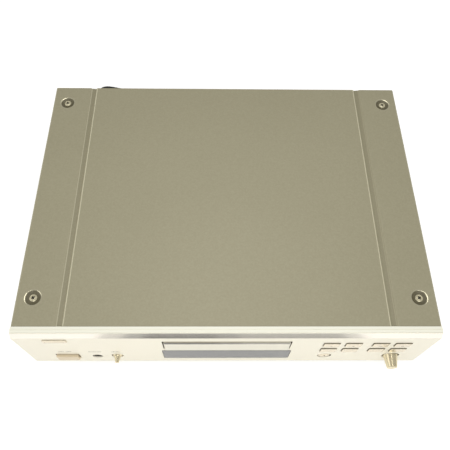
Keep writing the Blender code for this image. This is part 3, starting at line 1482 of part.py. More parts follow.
def make_transformer():
    # A laminated core round a winding block, on two bent feet.
    x, y = TRANSFORMER_CENTRE, back(TRANSFORMER_DEPTH)
    low = up(FLOOR_TOP) + CLEARANCE
    high = low + TRANSFORMER_HEIGHT
    mesh = bmesh.new()
    block(mesh, span(x, TRANSFORMER_WIDTH), span(y, CORE_THICKNESS), (low, high))
    transformer = part("power_transformer", mesh, "steel")
    winding = bmesh.new()
    rise = TRANSFORMER_HEIGHT / 5
    across = span(x, TRANSFORMER_WIDTH * WINDING_SHARE)
    block(winding, across, span(y, TRANSFORMER_LENGTH), (low + rise, high - rise))
    add(transformer, winding)


def socket_row(name, places, finish):
    # A block behind the rear panel that stands on the main board, with round sockets through it.
    centre = sum(places) / len(places)
    width = (len(places) - 1) * SOCKET_SPACING + 3 * SOCKET_RADIUS
    rear = back(REAR_FACE - SHEET) - CLEARANCE
    low = up(FLOOR_TOP) + BOARD_LIFT + BOARD_THICKNESS + CLEARANCE
    mesh = bmesh.new()
    high = up(SOCKET_Z) + 2 * SOCKET_RADIUS
    block(mesh, span(centre, width), (rear - SOCKET_BLOCK_DEPTH, rear), (low, high))
    row = part(name, mesh, finish)
    barrels, bores = bmesh.new(), bmesh.new()
    tip = back(REAR_FACE) + SOCKET_REACH
    for x in places:
        rod(barrels, "Y", (x, up(SOCKET_Z)), SOCKET_RADIUS, rear - SOCKET_BLOCK_DEPTH / 2, tip, sides=20)
        rod(bores, "Y", (x, up(SOCKET_Z)), SOCKET_BORE, rear, tip + OVERRUN, sides=12)
    add(row, barrels)
    cut(row, bores)


def analog_places():
    return [SOCKET_CENTRE - SOCKET_SPACING / 2, SOCKET_CENTRE + SOCKET_SPACING / 2]


def digital_places():
    return [SOCKET_CENTRE - 3 * SOCKET_SPACING]


def make_rear_panel():
    web = REAR_FACE
    panel, _ = make_sheet_frame("rear_panel", web, -1, REAR_SCREW_DEPTH)
    holes = bmesh.new()
    y = (back(web - SHEET) - OVERRUN, back(web) + OVERRUN)
    for x in analog_places() + digital_places():
        rod(holes, "Y", (x, up(SOCKET_Z)), SOCKET_RADIUS + CLEARANCE, *y, sides=14)
    rod(holes, "Y", (CORD_EXIT, up(CORD_Z)), BUSHING_HOLE, *y, sides=16)
    cut(panel, holes)


def make_bushing():
    inside = back(REAR_FACE - SHEET) - CLEARANCE
    outside = back(REAR_FACE) + CLEARANCE
    neck = BUSHING_HOLE - CLEARANCE
    profile = [
        (0, inside - SHEET),
        (BUSHING_RADIUS, inside - SHEET),
        (BUSHING_RADIUS, inside),
        (neck, inside),
        (neck, outside),
        (BUSHING_RADIUS, outside),
        (BUSHING_RADIUS, outside + BUSHING_LENGTH / 6),
        (BUSHING_TIP_RADIUS, outside + BUSHING_LENGTH),
        (0, outside + BUSHING_LENGTH),
    ]
    mesh = bmesh.new()
    turned(mesh, "Y", (CORD_EXIT, up(CORD_Z)), profile, sides=20)
    part("cord_bushing", mesh, "black_rubber", smooth=True)


# Mains cord, coiled behind the player


def smooth_route(points, steps):
    # A cubic B-spline that starts and ends at the route's own ends.
    points = [Vector(point) for point in points]
    points = [2 * points[0] - points[1]] + points + [2 * points[-1] - points[-2]]
    read = []
    for i in range(len(points) - 3):
        a, b, c, d = points[i:i + 4]
        for k in range(steps + (i == len(points) - 4)):
            t = k / steps
            read.append((
                a * (1 - t) ** 3
                + b * (3 * t ** 3 - 6 * t ** 2 + 4)
                + c * (3 * t + 3 * t ** 2 - 3 * t ** 3 + 1)
                + d * t ** 3
            ) / 6)
    return read


def coil_route():
    # Four layers of two turns, spiralling in and out from the top layer down.
    x, y = COIL_CENTRE
    outer = COIL_RADIUS + COIL_TURNS * COIL_PITCH / 2
    top = CORD_DIAMETER / 2 + (COIL_LAYERS - 1) * COIL_PITCH
    points = [Vector((x - CORD_DIAMETER, y + outer, top))]
    for i in range(COIL_LAYERS * COIL_TURNS * COIL_POINTS + 1):
        turn = i / COIL_POINTS
        layer = turn / COIL_TURNS
        drawn_in = layer % 2 if layer % 2 < 1 else 2 - layer % 2
        radius = outer - drawn_in * COIL_TURNS * COIL_PITCH
        climbs = [min(max(2 * (turn - k * COIL_TURNS) + 1 / 2, 0), 1) for k in range(1, COIL_LAYERS)]
        angle = math.pi / 2 - 2 * math.pi * turn
        place = (x + radius * math.cos(angle), y + radius * math.sin(angle), top - sum(climbs) * COIL_PITCH)
        points.append(Vector(place))
    return points + [points[-1] + Vector((COIL_TAIL, 0, 0))]


def least_gap(points):
    # Smallest clear distance between passes of a wound tube, measured on its points.
    apart = COIL_POINTS // 2
    pairs = ((p, q) for i, p in enumerate(points) for q in points[i + apart:])
    return min((p - q).length for p, q in pairs) - CORD_DIAMETER


def tube(name, points, resolution):
    curve = bpy.data.curves.new(name, "CURVE")
    curve.dimensions = "3D"
    curve.bevel_depth = CORD_DIAMETER / 2
    curve.bevel_resolution = resolution
    curve.render_resolution_u = 0
    curve.use_fill_caps = True
    spline = curve.splines.new("POLY")
    spline.points.add(len(points) - 1)
    for place, point in zip(points, spline.points):
        point.co = (*place, 1.0)
    made = bpy.data.objects.new(name, curve)
    made.data.materials.append(material(name, "black_rubber"))
    bpy.context.scene.collection.objects.link(made)


def make_cord():
    tube("mains_cord", smooth_route(CORD_ROUTE, CORD_STEPS), 2)
    coil = coil_route()
    tube("cord_coil", coil, 1)
    print(f"least gap inside the coil: {least_gap(coil) * 1000:.2f} mm")
    make_plug(coil[-1])


def make_plug(end):
    # The plug lies flat on the surface, in line with the last turn.
    x = end.x + CLEARANCE
    y, middle = end.y, PLUG_HEIGHT / 2
    mesh = bmesh.new()
    body = x + PLUG_RELIEF
    block(mesh, (body, body + PLUG_LENGTH), span(y, PLUG_WIDTH), (0, PLUG_HEIGHT))
    plug = part("mains_plug", mesh, "black_rubber")
    soften(plug, PLUG_EDGE)
    extra = bmesh.new()
    thin, thick = CORD_DIAMETER / 2, CORD_DIAMETER * RELIEF_SHARE
    near = [extra.verts.new((x, y + thin * u, end.z + thin * v)) for u, v in circle(0, 0, 1, 12)]
    far_x = body + PLUG_EDGE + CLEARANCE
    far = [extra.verts.new((far_x, y + thick * u, middle + thick * v)) for u, v in circle(0, 0, 1, 12)]
    faces = [extra.faces.new(near), extra.faces.new(far)]
    for i in range(len(near)):
        j = (i + 1) % len(near)
        faces.append(extra.faces.new((near[i], far[i], far[j], near[j])))
    bmesh.ops.recalc_face_normals(extra, faces=faces)
    for side in (-1, 1):
        blade = span(y + side * BLADE_SPACING / 2, BLADE_THICKNESS)
        start = body + PLUG_LENGTH - PLUG_EDGE
        block(extra, (start, start + PLUG_EDGE + BLADE_LENGTH), blade, span(middle, BLADE_WIDTH))
    add(plug, extra)


def clear_scene():
    for thing in list(bpy.data.objects):
        bpy.data.objects.remove(thing)


def build():
    clear_scene()
    make_cover()
    make_cover_screws()
    make_base()
    make_feet()
    make_front_panel()
    make_front_frame()
    make_name_plate()
    make_window()
    make_display_module()
    make_tray_front()
    make_buttons()
    make_round_button()
    make_power_button()
    make_power_switch()
    make_knobs()
    make_controls()
    make_headphone_socket()
    make_front_board()
    make_disc_tray()
    make_loader_frame()
    make_tray_gear()
    make_pulley_gear()
    make_motor_pulley()
    make_loading_motor()
    make_drive_belt()
    make_clamp()
    make_traverse()
    make_sled_rods()
    make_spindle()
    make_sled()
    make_lens()
    make_sled_drive()
    make_main_board()
    make_transformer()
    socket_row("analog_sockets", analog_places(), "gold")
    socket_row("digital_sockets", digital_places(), "gold")
    make_rear_panel()
    make_bushing()
    make_cord()


build()
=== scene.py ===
import json
import math

import bmesh
import bpy
from mathutils import Matrix, Vector

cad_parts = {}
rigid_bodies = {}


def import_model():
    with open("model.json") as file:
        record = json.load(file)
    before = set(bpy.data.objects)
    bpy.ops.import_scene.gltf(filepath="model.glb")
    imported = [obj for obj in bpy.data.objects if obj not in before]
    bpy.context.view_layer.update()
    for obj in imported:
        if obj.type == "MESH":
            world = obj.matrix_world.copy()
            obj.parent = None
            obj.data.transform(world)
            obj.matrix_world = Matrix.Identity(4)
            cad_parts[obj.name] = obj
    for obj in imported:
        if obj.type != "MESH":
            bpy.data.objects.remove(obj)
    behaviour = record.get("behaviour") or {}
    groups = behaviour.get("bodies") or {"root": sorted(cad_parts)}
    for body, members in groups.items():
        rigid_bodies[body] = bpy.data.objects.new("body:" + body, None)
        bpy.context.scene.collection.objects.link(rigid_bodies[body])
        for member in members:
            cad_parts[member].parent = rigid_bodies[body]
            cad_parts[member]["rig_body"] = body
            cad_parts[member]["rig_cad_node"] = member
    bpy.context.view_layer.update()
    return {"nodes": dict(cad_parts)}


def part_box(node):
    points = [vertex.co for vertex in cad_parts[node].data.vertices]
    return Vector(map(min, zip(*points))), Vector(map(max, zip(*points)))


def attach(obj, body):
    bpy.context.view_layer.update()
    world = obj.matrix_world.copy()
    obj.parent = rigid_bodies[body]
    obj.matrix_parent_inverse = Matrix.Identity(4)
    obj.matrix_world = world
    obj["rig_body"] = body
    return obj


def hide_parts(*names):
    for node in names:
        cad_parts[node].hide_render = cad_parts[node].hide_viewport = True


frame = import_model()
nodes = frame["nodes"]
print("stage: frame loaded,", len(nodes), "nodes")


def read(plan, names):
    # several values of a plan at once
    return [plan[name] for name in names.split()]


# Camera, fitted to the photograph's edges

cameraPlan = {
    "place": (-0.01141, -0.31044, 0.62002),
    "right": (0.99986, -0.00547, 0.01561),
    "up": (-0.00263, 0.87898, 0.47686),
    "ahead": (0.01633, 0.47683, -0.87884),
    "lens": 41.904,
    "sensor": 36.0,
}


def makeCamera(plan):
    view = bpy.data.cameras.new("photoCamera")
    view.lens = plan["lens"]
    view.sensor_width = plan["sensor"]
    view.clip_start = 0.02
    view.clip_end = 60
    camera = bpy.data.objects.new("photoCamera", view)
    bpy.context.scene.collection.objects.link(camera)
    right, up, ahead = (Vector(plan[key]).normalized() for key in ("right", "up", "ahead"))
    turn = Matrix((right, up, -ahead)).transposed()
    camera.matrix_world = Matrix.Translation(plan["place"]) @ turn.to_4x4()
    bpy.context.scene.camera = camera


makeCamera(cameraPlan)
bpy.context.scene.view_settings.view_transform = "Standard"
print("stage: camera placed")


# Shader groups that the materials share

def startGroup(name, inputs, outputs):
    group = bpy.data.node_groups.new(name, "ShaderNodeTree")
    for label, kind, value in inputs:
        socket = group.interface.new_socket(name=label, in_out="INPUT", socket_type=kind)
        socket.default_value = value
    for label, kind in outputs:
        group.interface.new_socket(name=label, in_out="OUTPUT", socket_type=kind)
    first = group.nodes.new("NodeGroupInput")
    last = group.nodes.new("NodeGroupOutput")
    return group, first.outputs, last.inputs


def join(tree, source, target):
    tree.links.new(source, target)


def mathNode(tree, operation, first, second=None):
    node = tree.nodes.new("ShaderNodeMath")
    node.operation = operation
    for value, socket in zip((first, second), node.inputs):
        if value is None:
            continue
        if isinstance(value, (int, float)):
            socket.default_value = value
        else:
            join(tree, value, socket)
    return node.outputs[0]


def stretchedNoise(tree, scale, stretch, detail):
    where = tree.nodes.new("ShaderNodeTexCoord")
    mapping = tree.nodes.new("ShaderNodeMapping")
    noise = tree.nodes.new("ShaderNodeTexNoise")
    noise.inputs["Detail"].default_value = detail
    join(tree, where.outputs["Object"], mapping.inputs["Vector"])
    join(tree, stretch, mapping.inputs["Scale"])
    join(tree, mapping.outputs["Vector"], noise.inputs["Vector"])
    join(tree, scale, noise.inputs["Scale"])
    return noise.outputs["Fac"]


def grainGroup():
    # noise drawn out along chosen axes and set between a low and a high value
    group, given, out = startGroup("grain", [("Scale", "NodeSocketFloat", 500.0),
        ("Stretch", "NodeSocketVector", (1, 1, 1)), ("Low", "NodeSocketFloat", 0.3),
        ("High", "NodeSocketFloat", 0.5)], [("Value", "NodeSocketFloat")])
    fac = stretchedNoise(group, given["Scale"], given["Stretch"], 3.0)
    ramp = group.nodes.new("ShaderNodeMapRange")
    ramp.inputs["From Min"].default_value = 0.25
    ramp.inputs["From Max"].default_value = 0.75
    join(group, fac, ramp.inputs["Value"])
    join(group, given["Low"], ramp.inputs["To Min"])
    join(group, given["High"], ramp.inputs["To Max"])
    join(group, ramp.outputs["Result"], out["Value"])
    return group


def toneGroup():
    # a base tone that drifts slowly over the surface, with a finer fleck in it
    group, given, out = startGroup("tone", [("Tone", "NodeSocketColor", (0.5, 0.5, 0.5, 1)),
        ("Dark Tone", "NodeSocketColor", (0.4, 0.4, 0.4, 1)), ("Drift Scale", "NodeSocketFloat", 12.0),
        ("Drift", "NodeSocketFloat", 0.5), ("Fleck Scale", "NodeSocketFloat", 1500.0),
        ("Fleck", "NodeSocketFloat", 0.2), ("Stretch", "NodeSocketVector", (1, 1, 1))],
        [("Color", "NodeSocketColor")])
    even = group.nodes.new("ShaderNodeCombineXYZ")
    for socket in even.inputs:
        socket.default_value = 1.0
    slow = stretchedNoise(group, given["Drift Scale"], even.outputs[0], 2.0)
    fine = stretchedNoise(group, given["Fleck Scale"], given["Stretch"], 2.0)
    slow = mathNode(group, "MULTIPLY", slow, given["Drift"])
    fine = mathNode(group, "MULTIPLY", fine, given["Fleck"])
    mix = group.nodes.new("ShaderNodeMix")
    mix.data_type = "RGBA"
    mix.clamp_factor = True
    join(group, mathNode(group, "ADD", slow, fine), mix.inputs["Factor"])
    join(group, given["Tone"], mix.inputs["A"])
    join(group, given["Dark Tone"], mix.inputs["B"])
    join(group, mix.outputs["Result"], out["Color"])
    return group


def specksGroup():
    # sparse dust and rubbed spots: a mask that is 1 in the spots
    group, given, out = startGroup("specks", [("Scale", "NodeSocketFloat", 60.0),
        ("Amount", "NodeSocketFloat", 0.3)], [("Mask", "NodeSocketFloat")])
    where = group.nodes.new("ShaderNodeTexCoord")
    cells = group.nodes.new("ShaderNodeTexVoronoi")
    join(group, where.outputs["Object"], cells.inputs["Vector"])
    join(group, given["Scale"], cells.inputs["Scale"])
    near = mathNode(group, "LESS_THAN", cells.outputs["Distance"], 0.12)
    join(group, mathNode(group, "MULTIPLY", near, given["Amount"]), out["Mask"])
    return group


groups = {"grain": grainGroup(), "tone": toneGroup(), "specks": specksGroup()}


def place(tree, name, **values):
    node = tree.nodes.new("ShaderNodeGroup")
    node.node_tree = groups[name]
    for label, value in values.items():
        node.inputs[label.replace("_", " ")].default_value = value
    return node.outputs[0]


# Finishes: a dictionary for each, and one maker that sets them up

def screen(red, green, blue):
    # a colour as it is read off a screen, made linear
    linear = [((v / 255 + 0.055) / 1.055) ** 2.4 if v > 10 else v / 255 / 12.92 for v in (red, green, blue)]
    return (*linear, 1.0)


def makeFinish(name, plan):
    made = bpy.data.materials.new(name)
    made.use_nodes = True
    tree = made.node_tree
    shader = tree.nodes["Principled BSDF"]
    stretch = plan.get("stretch", (1, 1, 1))
    colour = place(tree, "tone", Tone=screen(*plan["tone"]), Dark_Tone=screen(*plan["dark"]),
        Drift_Scale=plan.get("driftScale", 12.0), Drift=plan.get("drift", 0.5),
        Fleck_Scale=plan.get("fleckScale", 1500.0), Fleck=plan.get("fleck", 0.3), Stretch=stretch)
    if "specks" in plan:
        spots = place(tree, "specks", Scale=plan.get("speckScale", 60.0), Amount=plan["specks"])
        over = tree.nodes.new("ShaderNodeMix")
        over.data_type = "RGBA"
        over.inputs["B"].default_value = screen(*plan["speckTone"])
        join(tree, spots, over.inputs["Factor"])
        join(tree, colour, over.inputs["A"])
        colour = over.outputs["Result"]
    join(tree, colour, shader.inputs["Base Color"])
    low, high = plan["rough"]
    rough = place(tree, "grain", Scale=plan.get("roughScale", 400.0), Stretch=stretch, Low=low, High=high)
    join(tree, rough, shader.inputs["Roughness"])
    if plan.get("bump"):
        relief = place(tree, "grain", Scale=plan.get("bumpScale", 1500.0), Stretch=stretch, Low=0.0,
            High=1.0)
        bump = tree.nodes.new("ShaderNodeBump")
        bump.inputs["Strength"].default_value = plan["bump"]
        bump.inputs["Distance"].default_value = plan.get("bumpDepth", 0.0001)
        join(tree, relief, bump.inputs["Height"])
        join(tree, bump.outputs["Normal"], shader.inputs["Normal"])
    shader.inputs["Metallic"].default_value = plan.get("metal", 0.0)
    shader.inputs["Coat Weight"].default_value = plan.get("coat", 0.0)
    shader.inputs["Coat Roughness"].default_value = plan.get("coatRough", 0.1)
    shader.inputs["IOR"].default_value = plan.get("ior", 1.5)
    shader.inputs["Transmission Weight"].default_value = plan.get("clear", 0.0)
    return made


# name, record slot, tone, dark tone, drift scale, roughness range, and what departs from the usual
finishRows = (
    ("coverPaint", "olive_paint", (169, 163, 136), (154, 148, 121), 5.0, (0.42, 0.56),
     dict(drift=0.55, fleckScale=560.0, fleck=1.0, roughScale=900.0, bump=0.35, bumpScale=2200.0,
          bumpDepth=0.00006, metal=0.1)),
    ("panelBrushed", "champagne", (251, 246, 229), (243, 236, 216), 4.0, (0.4, 0.46),
     dict(drift=0.2, fleckScale=5200.0, fleck=0.15, stretch=(0.012, 1, 1), roughScale=5200.0, bump=0.05,
          bumpScale=5200.0, bumpDepth=0.00001, metal=0.25)),
    ("controlMetal", "pale_metal", (236, 225, 203), (226, 214, 190), 30.0, (0.2, 0.32),
     dict(drift=0.3, fleckScale=3000.0, fleck=0.3, stretch=(0.05, 1, 1), roughScale=2800.0, bump=0.12,
          bumpScale=3000.0, bumpDepth=0.00003, metal=0.7)),
    ("knobMetal", "pale_metal", (236, 224, 190), (219, 205, 168), 40.0, (0.2, 0.28),
     dict(drift=0.3, fleckScale=3000.0, fleck=0.3, stretch=(1, 0.05, 1), roughScale=2800.0, bump=0.1,
          bumpScale=3000.0, bumpDepth=0.00003, metal=0.8)),
    ("zincSheet", "zinc", (186, 188, 184), (150, 153, 150), 55.0, (0.28, 0.46),
     dict(drift=0.6, fleckScale=700.0, fleck=0.3, roughScale=90.0, bump=0.1, bumpScale=300.0,
          metal=0.9)),
    ("blackSheet", "black_plastic", (38, 38, 37), (24, 24, 24), 12.0, (0.42, 0.6),
     dict(fleckScale=1200.0, roughScale=1200.0, bump=0.3, bumpScale=1600.0)),
    ("screwSteel", "steel", (196, 186, 158), (150, 141, 117), 300.0, (0.22, 0.36),
     dict(roughScale=1500.0, bump=0.1, metal=0.9)),
    ("brightSteel", "steel", (188, 189, 190), (148, 150, 152), 60.0, (0.2, 0.36),
     dict(roughScale=800.0, stretch=(1, 1, 0.1), bump=0.08, metal=1.0)),
    ("goldPlate", "gold", (226, 188, 104), (198, 158, 80), 90.0, (0.14, 0.26),
     dict(roughScale=900.0, bump=0.06, metal=1.0)),
    ("brassRing", "gold", (214, 190, 134), (190, 164, 108), 200.0, (0.2, 0.32),
     dict(roughScale=1500.0, bump=0.08, metal=0.9)),
    ("copperWire", "steel", (176, 100, 62), (128, 66, 38), 200.0, (0.28, 0.42),
     dict(fleckScale=900.0, stretch=(1, 1, 12), bump=0.4, bumpScale=900.0, metal=0.8)),
    ("blackPlastic", "black_plastic", (34, 34, 35), (22, 22, 23), 25.0, (0.4, 0.56),
     dict(fleckScale=1800.0, roughScale=1800.0, bump=0.3, bumpScale=2000.0)),
    ("blackRubber", "black_rubber", (30, 30, 30), (20, 20, 20), 40.0, (0.55, 0.75),
     dict(fleckScale=900.0, roughScale=900.0, bump=0.3, bumpScale=1300.0, specks=0.1, speckScale=500.0,
          speckTone=(96, 95, 92))),
    ("whitePlastic", "white_plastic", (226, 224, 214), (206, 203, 190), 60.0, (0.36, 0.5),
     dict(roughScale=1200.0, bump=0.15, coat=0.1)),
    ("smokedWindow", "smoked", (111, 112, 113), (78, 79, 80), 20.0, (0.06, 0.1),
     dict(fleck=0.05, roughScale=60.0)),
    ("boardTan", "board_tan", (176, 146, 92), (150, 120, 70), 30.0, (0.42, 0.6),
     dict(fleckScale=600.0, bump=0.2, bumpScale=900.0, coat=0.1)),
    ("boardGreen", "board_green", (44, 96, 60), (30, 74, 44), 40.0, (0.25, 0.4),
     dict(fleckScale=500.0, bump=0.15, bumpScale=700.0, coat=0.3)),
    ("lensGlass", "clear_lens", (150, 170, 214), (120, 140, 200), 200.0, (0.02, 0.05),
     dict(coat=1.0, coatRough=0.02)),
    ("redPlastic", "white_plastic", (176, 44, 38), (156, 34, 30), 200.0, (0.36, 0.5),
     dict(roughScale=1200.0, bump=0.15, coat=0.1)),
    ("slopePolished", "champagne", (252, 248, 238), (246, 240, 226), 6.0, (0.1, 0.14),
     dict(drift=0.3, fleckScale=5200.0, fleck=0.2, stretch=(0.012, 1, 1), roughScale=5200.0, metal=1.0)),
    ("powerTan", "pale_metal", (226, 210, 180), (216, 199, 168), 60.0, (0.34, 0.44),
     dict(drift=0.3, roughScale=2400.0, bump=0.1, bumpScale=3000.0, metal=0.3)),
    # painted shade for the sides of caps and the walls of openings
    ("recessShade", "black_plastic", (104, 92, 68), (84, 74, 52), 300.0, (0.5, 0.65),
     dict(roughScale=2000.0, bump=0.1)),
    ("printDark", "black_plastic", (122, 112, 92), (108, 98, 80), 200.0, (0.45, 0.6), dict()),
)
finishPlans = {name: dict(more, slot=slot, tone=tone, dark=dark, driftScale=scale, rough=rough)
    for name, slot, tone, dark, scale, rough, more in finishRows}
# shades of a finish: name, the finish that it starts from, tone, dark tone, and what else differs
for name, base, tone, dark, more in (
    # painted highlight on the inner edges of the grooves
    ("coverWorn", "coverPaint", (216, 210, 180), (202, 196, 167), {}),
    # painted shade on the groove floors
    ("coverDusty", "coverPaint", (153, 147, 120), (139, 133, 107), {}),
    # painted highlight on the folds and on the left groove's outer wall
    ("coverFold", "coverPaint", (188, 182, 154), (174, 168, 141), {}),
    # painted shade in the screw dishes
    ("seatDark", "coverPaint", (110, 104, 80), (98, 92, 69), {}),
    # paler, glossier dish rims: the paler tone is painted highlight, the gloss is the rim's own
    ("seatRim", "controlMetal", (214, 207, 178), (200, 193, 164), {"metal": 0.8, "rough": (0.16, 0.22)}),
    ("screwOlive", "controlMetal", (206, 199, 168), (188, 180, 150), {"metal": 0.35, "slot": "zinc"}),
    # top ledge: a matte finish of its own, and its darker tone is painted shade
    ("panelLedge", "panelBrushed", (244, 242, 225), (237, 235, 217), {"metal": 0.05, "rough": (0.5, 0.6)}),
    # tray front: the panel's metal made darker, as painted shade on the set-back front
    ("trayBrushed", "panelBrushed", (239, 235, 219), (230, 225, 208), {"slot": "pale_metal"}),
    # painted shade in screw recesses, the jack's opening and along the window's top
    ("deepDark", "recessShade", (36, 31, 20), (26, 22, 14), {}),
    # painted shadow on the tray front's top
    ("trayEdge", "recessShade", (184, 178, 150), (172, 166, 138), {}),
):
    finishPlans[name] = dict(finishPlans[base], tone=tone, dark=dark, **more)
finish = {name: makeFinish(name, plan) for name, plan in finishPlans.items()}


def dress(piece, name):
    piece.data.materials.clear()
    piece.data.materials.append(finish[name])


# The finish of each imported node
nodeFinishes = {
    "coverPaint": ["top_cover"],
    "panelBrushed": ["front_panel", "tray_front"],
    "controlMetal": ["name_plate", "round_button", "power_button"] + [f"button_{n}" for n in range(1, 9)],
    "knobMetal": ["select_knob", "level_knob"],
    "zincSheet": ["chassis_base", "front_frame", "select_encoder", "level_pot", "clamp_bridge"],
    "blackSheet": ["rear_panel"],
    "screwSteel": [f"cover_screw_{end}_{side}" for end in ("front", "rear") for side in ("left", "right")],
    "blackPlastic": ["power_switch", "disc_tray", "loader_frame", "clamp_puck", "traverse_frame",
                     "spindle_platter", "laser_sled", "display_module"]
    + [f"foot_{end}_{side}" for end in ("front", "rear") for side in ("left", "right")],
    "smokedWindow": ["display_window"],
    "goldPlate": ["analog_sockets", "digital_sockets"],
    "brassRing": ["headphone_socket"],
    "boardTan": ["front_board"],
    "boardGreen": ["main_board"],
    "whitePlastic": ["tray_gear", "pulley_gear", "motor_pulley", "sled_pinion"],
    "brightSteel": ["loading_motor", "power_transformer", "sled_rod_left", "sled_rod_right",
                    "spindle_motor", "sled_motor"],
    "blackRubber": ["drive_belt", "cord_bushing", "mains_cord", "cord_coil", "mains_plug"],
    "lensGlass": ["lens"],
}
for name, members in nodeFinishes.items():
    for member in members:
        dress(nodes[member], name)
print("stage: finishes made")


# Mains lead: the same route as the part's own, with its length wound up behind the case

leadPlan = {
    "thick": 0.006,
    "route": (
        (-0.175, 0.19135, 0.0618), (-0.175, 0.1955, 0.0618), (-0.1746, 0.2037, 0.061),
        (-0.173, 0.2118, 0.0582), (-0.1702, 0.2185, 0.0533), (-0.1662, 0.2239, 0.0475),
        (-0.1612, 0.2281, 0.0416), (-0.1552, 0.2315, 0.0361), (-0.1483, 0.2342, 0.0312),
        (-0.1407, 0.2364, 0.0273), (-0.1326, 0.2381, 0.0244), (-0.124, 0.2396, 0.0227),
        (-0.1153, 0.241, 0.0223), (-0.1066, 0.2424, 0.0224), (-0.0978, 0.2426, 0.0225),
    ),
    "steps": 4,
    "coilCentre": (-0.0915, 0.2061),
    "coilRadius": 0.03,
    "pitch": 0.0065,
    "layers": 4,
    "turns": 2,
    "pointsPerTurn": 48,
    "tail": 0.019,
}


def readRoute(plan):
    points = [Vector(point) for point in plan["route"]]
    points = [2 * points[0] - points[1]] + points + [2 * points[-1] - points[-2]]
    spots = []
    for i in range(len(points) - 3):
        a, b, c, d = points[i:i + 4]
        for k in range(plan["steps"]):
            t = k / plan["steps"]
            spots.append((a * (1 - t) ** 3 + b * (3 * t ** 3 - 6 * t ** 2 + 4)
                + c * (3 * t + 3 * t ** 2 - 3 * t ** 3 + 1) + d * t ** 3) / 6)
    return spots


def readCoil(plan):
    turns, pitch, layers, pointsPerTurn = read(plan, "turns pitch layers pointsPerTurn")
    x, y = plan["coilCentre"]
    outer = plan["coilRadius"] + turns * pitch / 2
    top = plan["thick"] / 2 + (layers - 1) * pitch
    points = []
    for i in range(layers * turns * pointsPerTurn + 1):
        turn = i / pointsPerTurn
        layer = turn / turns
        drawnIn = layer % 2 if layer % 2 < 1 else 2 - layer % 2
        radius = outer - drawnIn * turns * pitch
        climbs = [min(max(2 * (turn - k * turns) + 0.5, 0), 1) for k in range(1, layers)]
        angle = math.pi / 2 - 2 * math.pi * turn
        points.append(Vector((x + radius * math.cos(angle), y + radius * math.sin(angle),
            top - sum(climbs) * pitch)))
    return points + [points[-1] + Vector((plan["tail"], 0, 0))]


def makeTube(name, points, thick, sides=4):
    line = bpy.data.curves.new(name, "CURVE")
    line.dimensions = "3D"
    line.bevel_depth = thick / 2
    line.bevel_resolution = sides
    line.use_fill_caps = True
    spline = line.splines.new("POLY")
    spline.points.add(len(points) - 1)
    for spot, point in zip(points, spline.points):
        point.co = (*spot, 1.0)
    tube = bpy.data.objects.new(name, line)
    bpy.context.scene.collection.objects.link(tube)
    return tube


leadPoints = readRoute(leadPlan) + readCoil(leadPlan)
lead = makeTube("mainsLead", leadPoints, leadPlan["thick"])
dress(lead, "blackRubber")
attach(lead, "player")
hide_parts("mains_cord", "cord_coil")


# Tools of the bench: start, shape in edit mode, cut, round off, and set on a body

def pick(piece):
    bpy.ops.object.select_all(action="DESELECT")
    piece.select_set(True)
    bpy.context.view_layer.objects.active = piece


def settle(piece):
    pick(piece)
    bpy.ops.object.transform_apply(location=True, rotation=True, scale=True)
    return piece


def openEdit(piece):
    pick(piece)
    bpy.ops.object.mode_set(mode="EDIT")
    bpy.ops.mesh.select_mode(type="FACE")
    selectAll()


def selectAll():
    bpy.ops.mesh.select_all(action="SELECT")


def choose(piece, kind, test):
    # the corners, edges or faces of the open piece that pass the test
    bpy.ops.mesh.select_mode(type=kind)
    bpy.ops.mesh.select_all(action="DESELECT")
    mesh = bmesh.from_edit_mesh(piece.data)
    for item in {"VERT": mesh.verts, "EDGE": mesh.edges, "FACE": mesh.faces}[kind]:
        item.select_set(test(item))
    bmesh.update_edit_mesh(piece.data)


def closeEdit(piece):
    bmesh.update_edit_mesh(piece.data)
    bpy.ops.object.mode_set(mode="OBJECT")
    return piece


def about(x, y, wide, deep, low, high):
    # two corners of a block that reaches equally far to both sides of a place in plan
    return (x - wide, y - deep, low), (x + wide, y + deep, high)


def cubePiece(name, low, high):
    low, high = Vector(low), Vector(high)
    bpy.ops.object.select_all(action="DESELECT")
    bpy.ops.mesh.primitive_cube_add(size=1, location=(low + high) / 2, scale=high - low)
    piece = bpy.context.object
    piece.name = name
    return settle(piece)


def turnedPiece(name, centre, axis, rings, sides=64):
    # a disc drawn out ring by ring along an axis: each ring is (radius, distance along it)
    centre, axis = Vector(centre), Vector(axis).normalized()
    radius, along = rings[0]
    turn = axis.to_track_quat("Z", "Y").to_euler()
    bpy.ops.object.select_all(action="DESELECT")
    bpy.ops.mesh.primitive_circle_add(vertices=sides, radius=radius, fill_type="NGON",
        location=centre + axis * along, rotation=turn)
    piece = settle(bpy.context.object)
    piece.name = name
    openEdit(piece)
    for nextRadius, nextAlong in rings[1:]:
        bpy.ops.mesh.extrude_region_move(TRANSFORM_OT_translate={"value": axis * (nextAlong - along)})
        share = nextRadius / radius
        bpy.ops.transform.resize(value=(share, share, share), center_override=centre + axis * nextAlong)
        radius, along = nextRadius, nextAlong
    selectAll()
    bpy.ops.mesh.normals_make_consistent(inside=False)
    return closeEdit(piece)


def mm(*values):
    # rings as radius and distance in turn, in millimetres
    return [(radius / 1000, along / 1000) for radius, along in zip(values[::2], values[1::2])]


def upright(name, centre, rings, sides=64):
    return turnedPiece(name, (*centre, 0), (0, 0, 1), rings, sides)


def drilled(piece, place, axis, radius, near, far, sides=64):
    # a round hole from one distance along the axis to another
    return combine(piece, turnedPiece("bore", place, axis, ((radius, near), (radius, far)), sides))


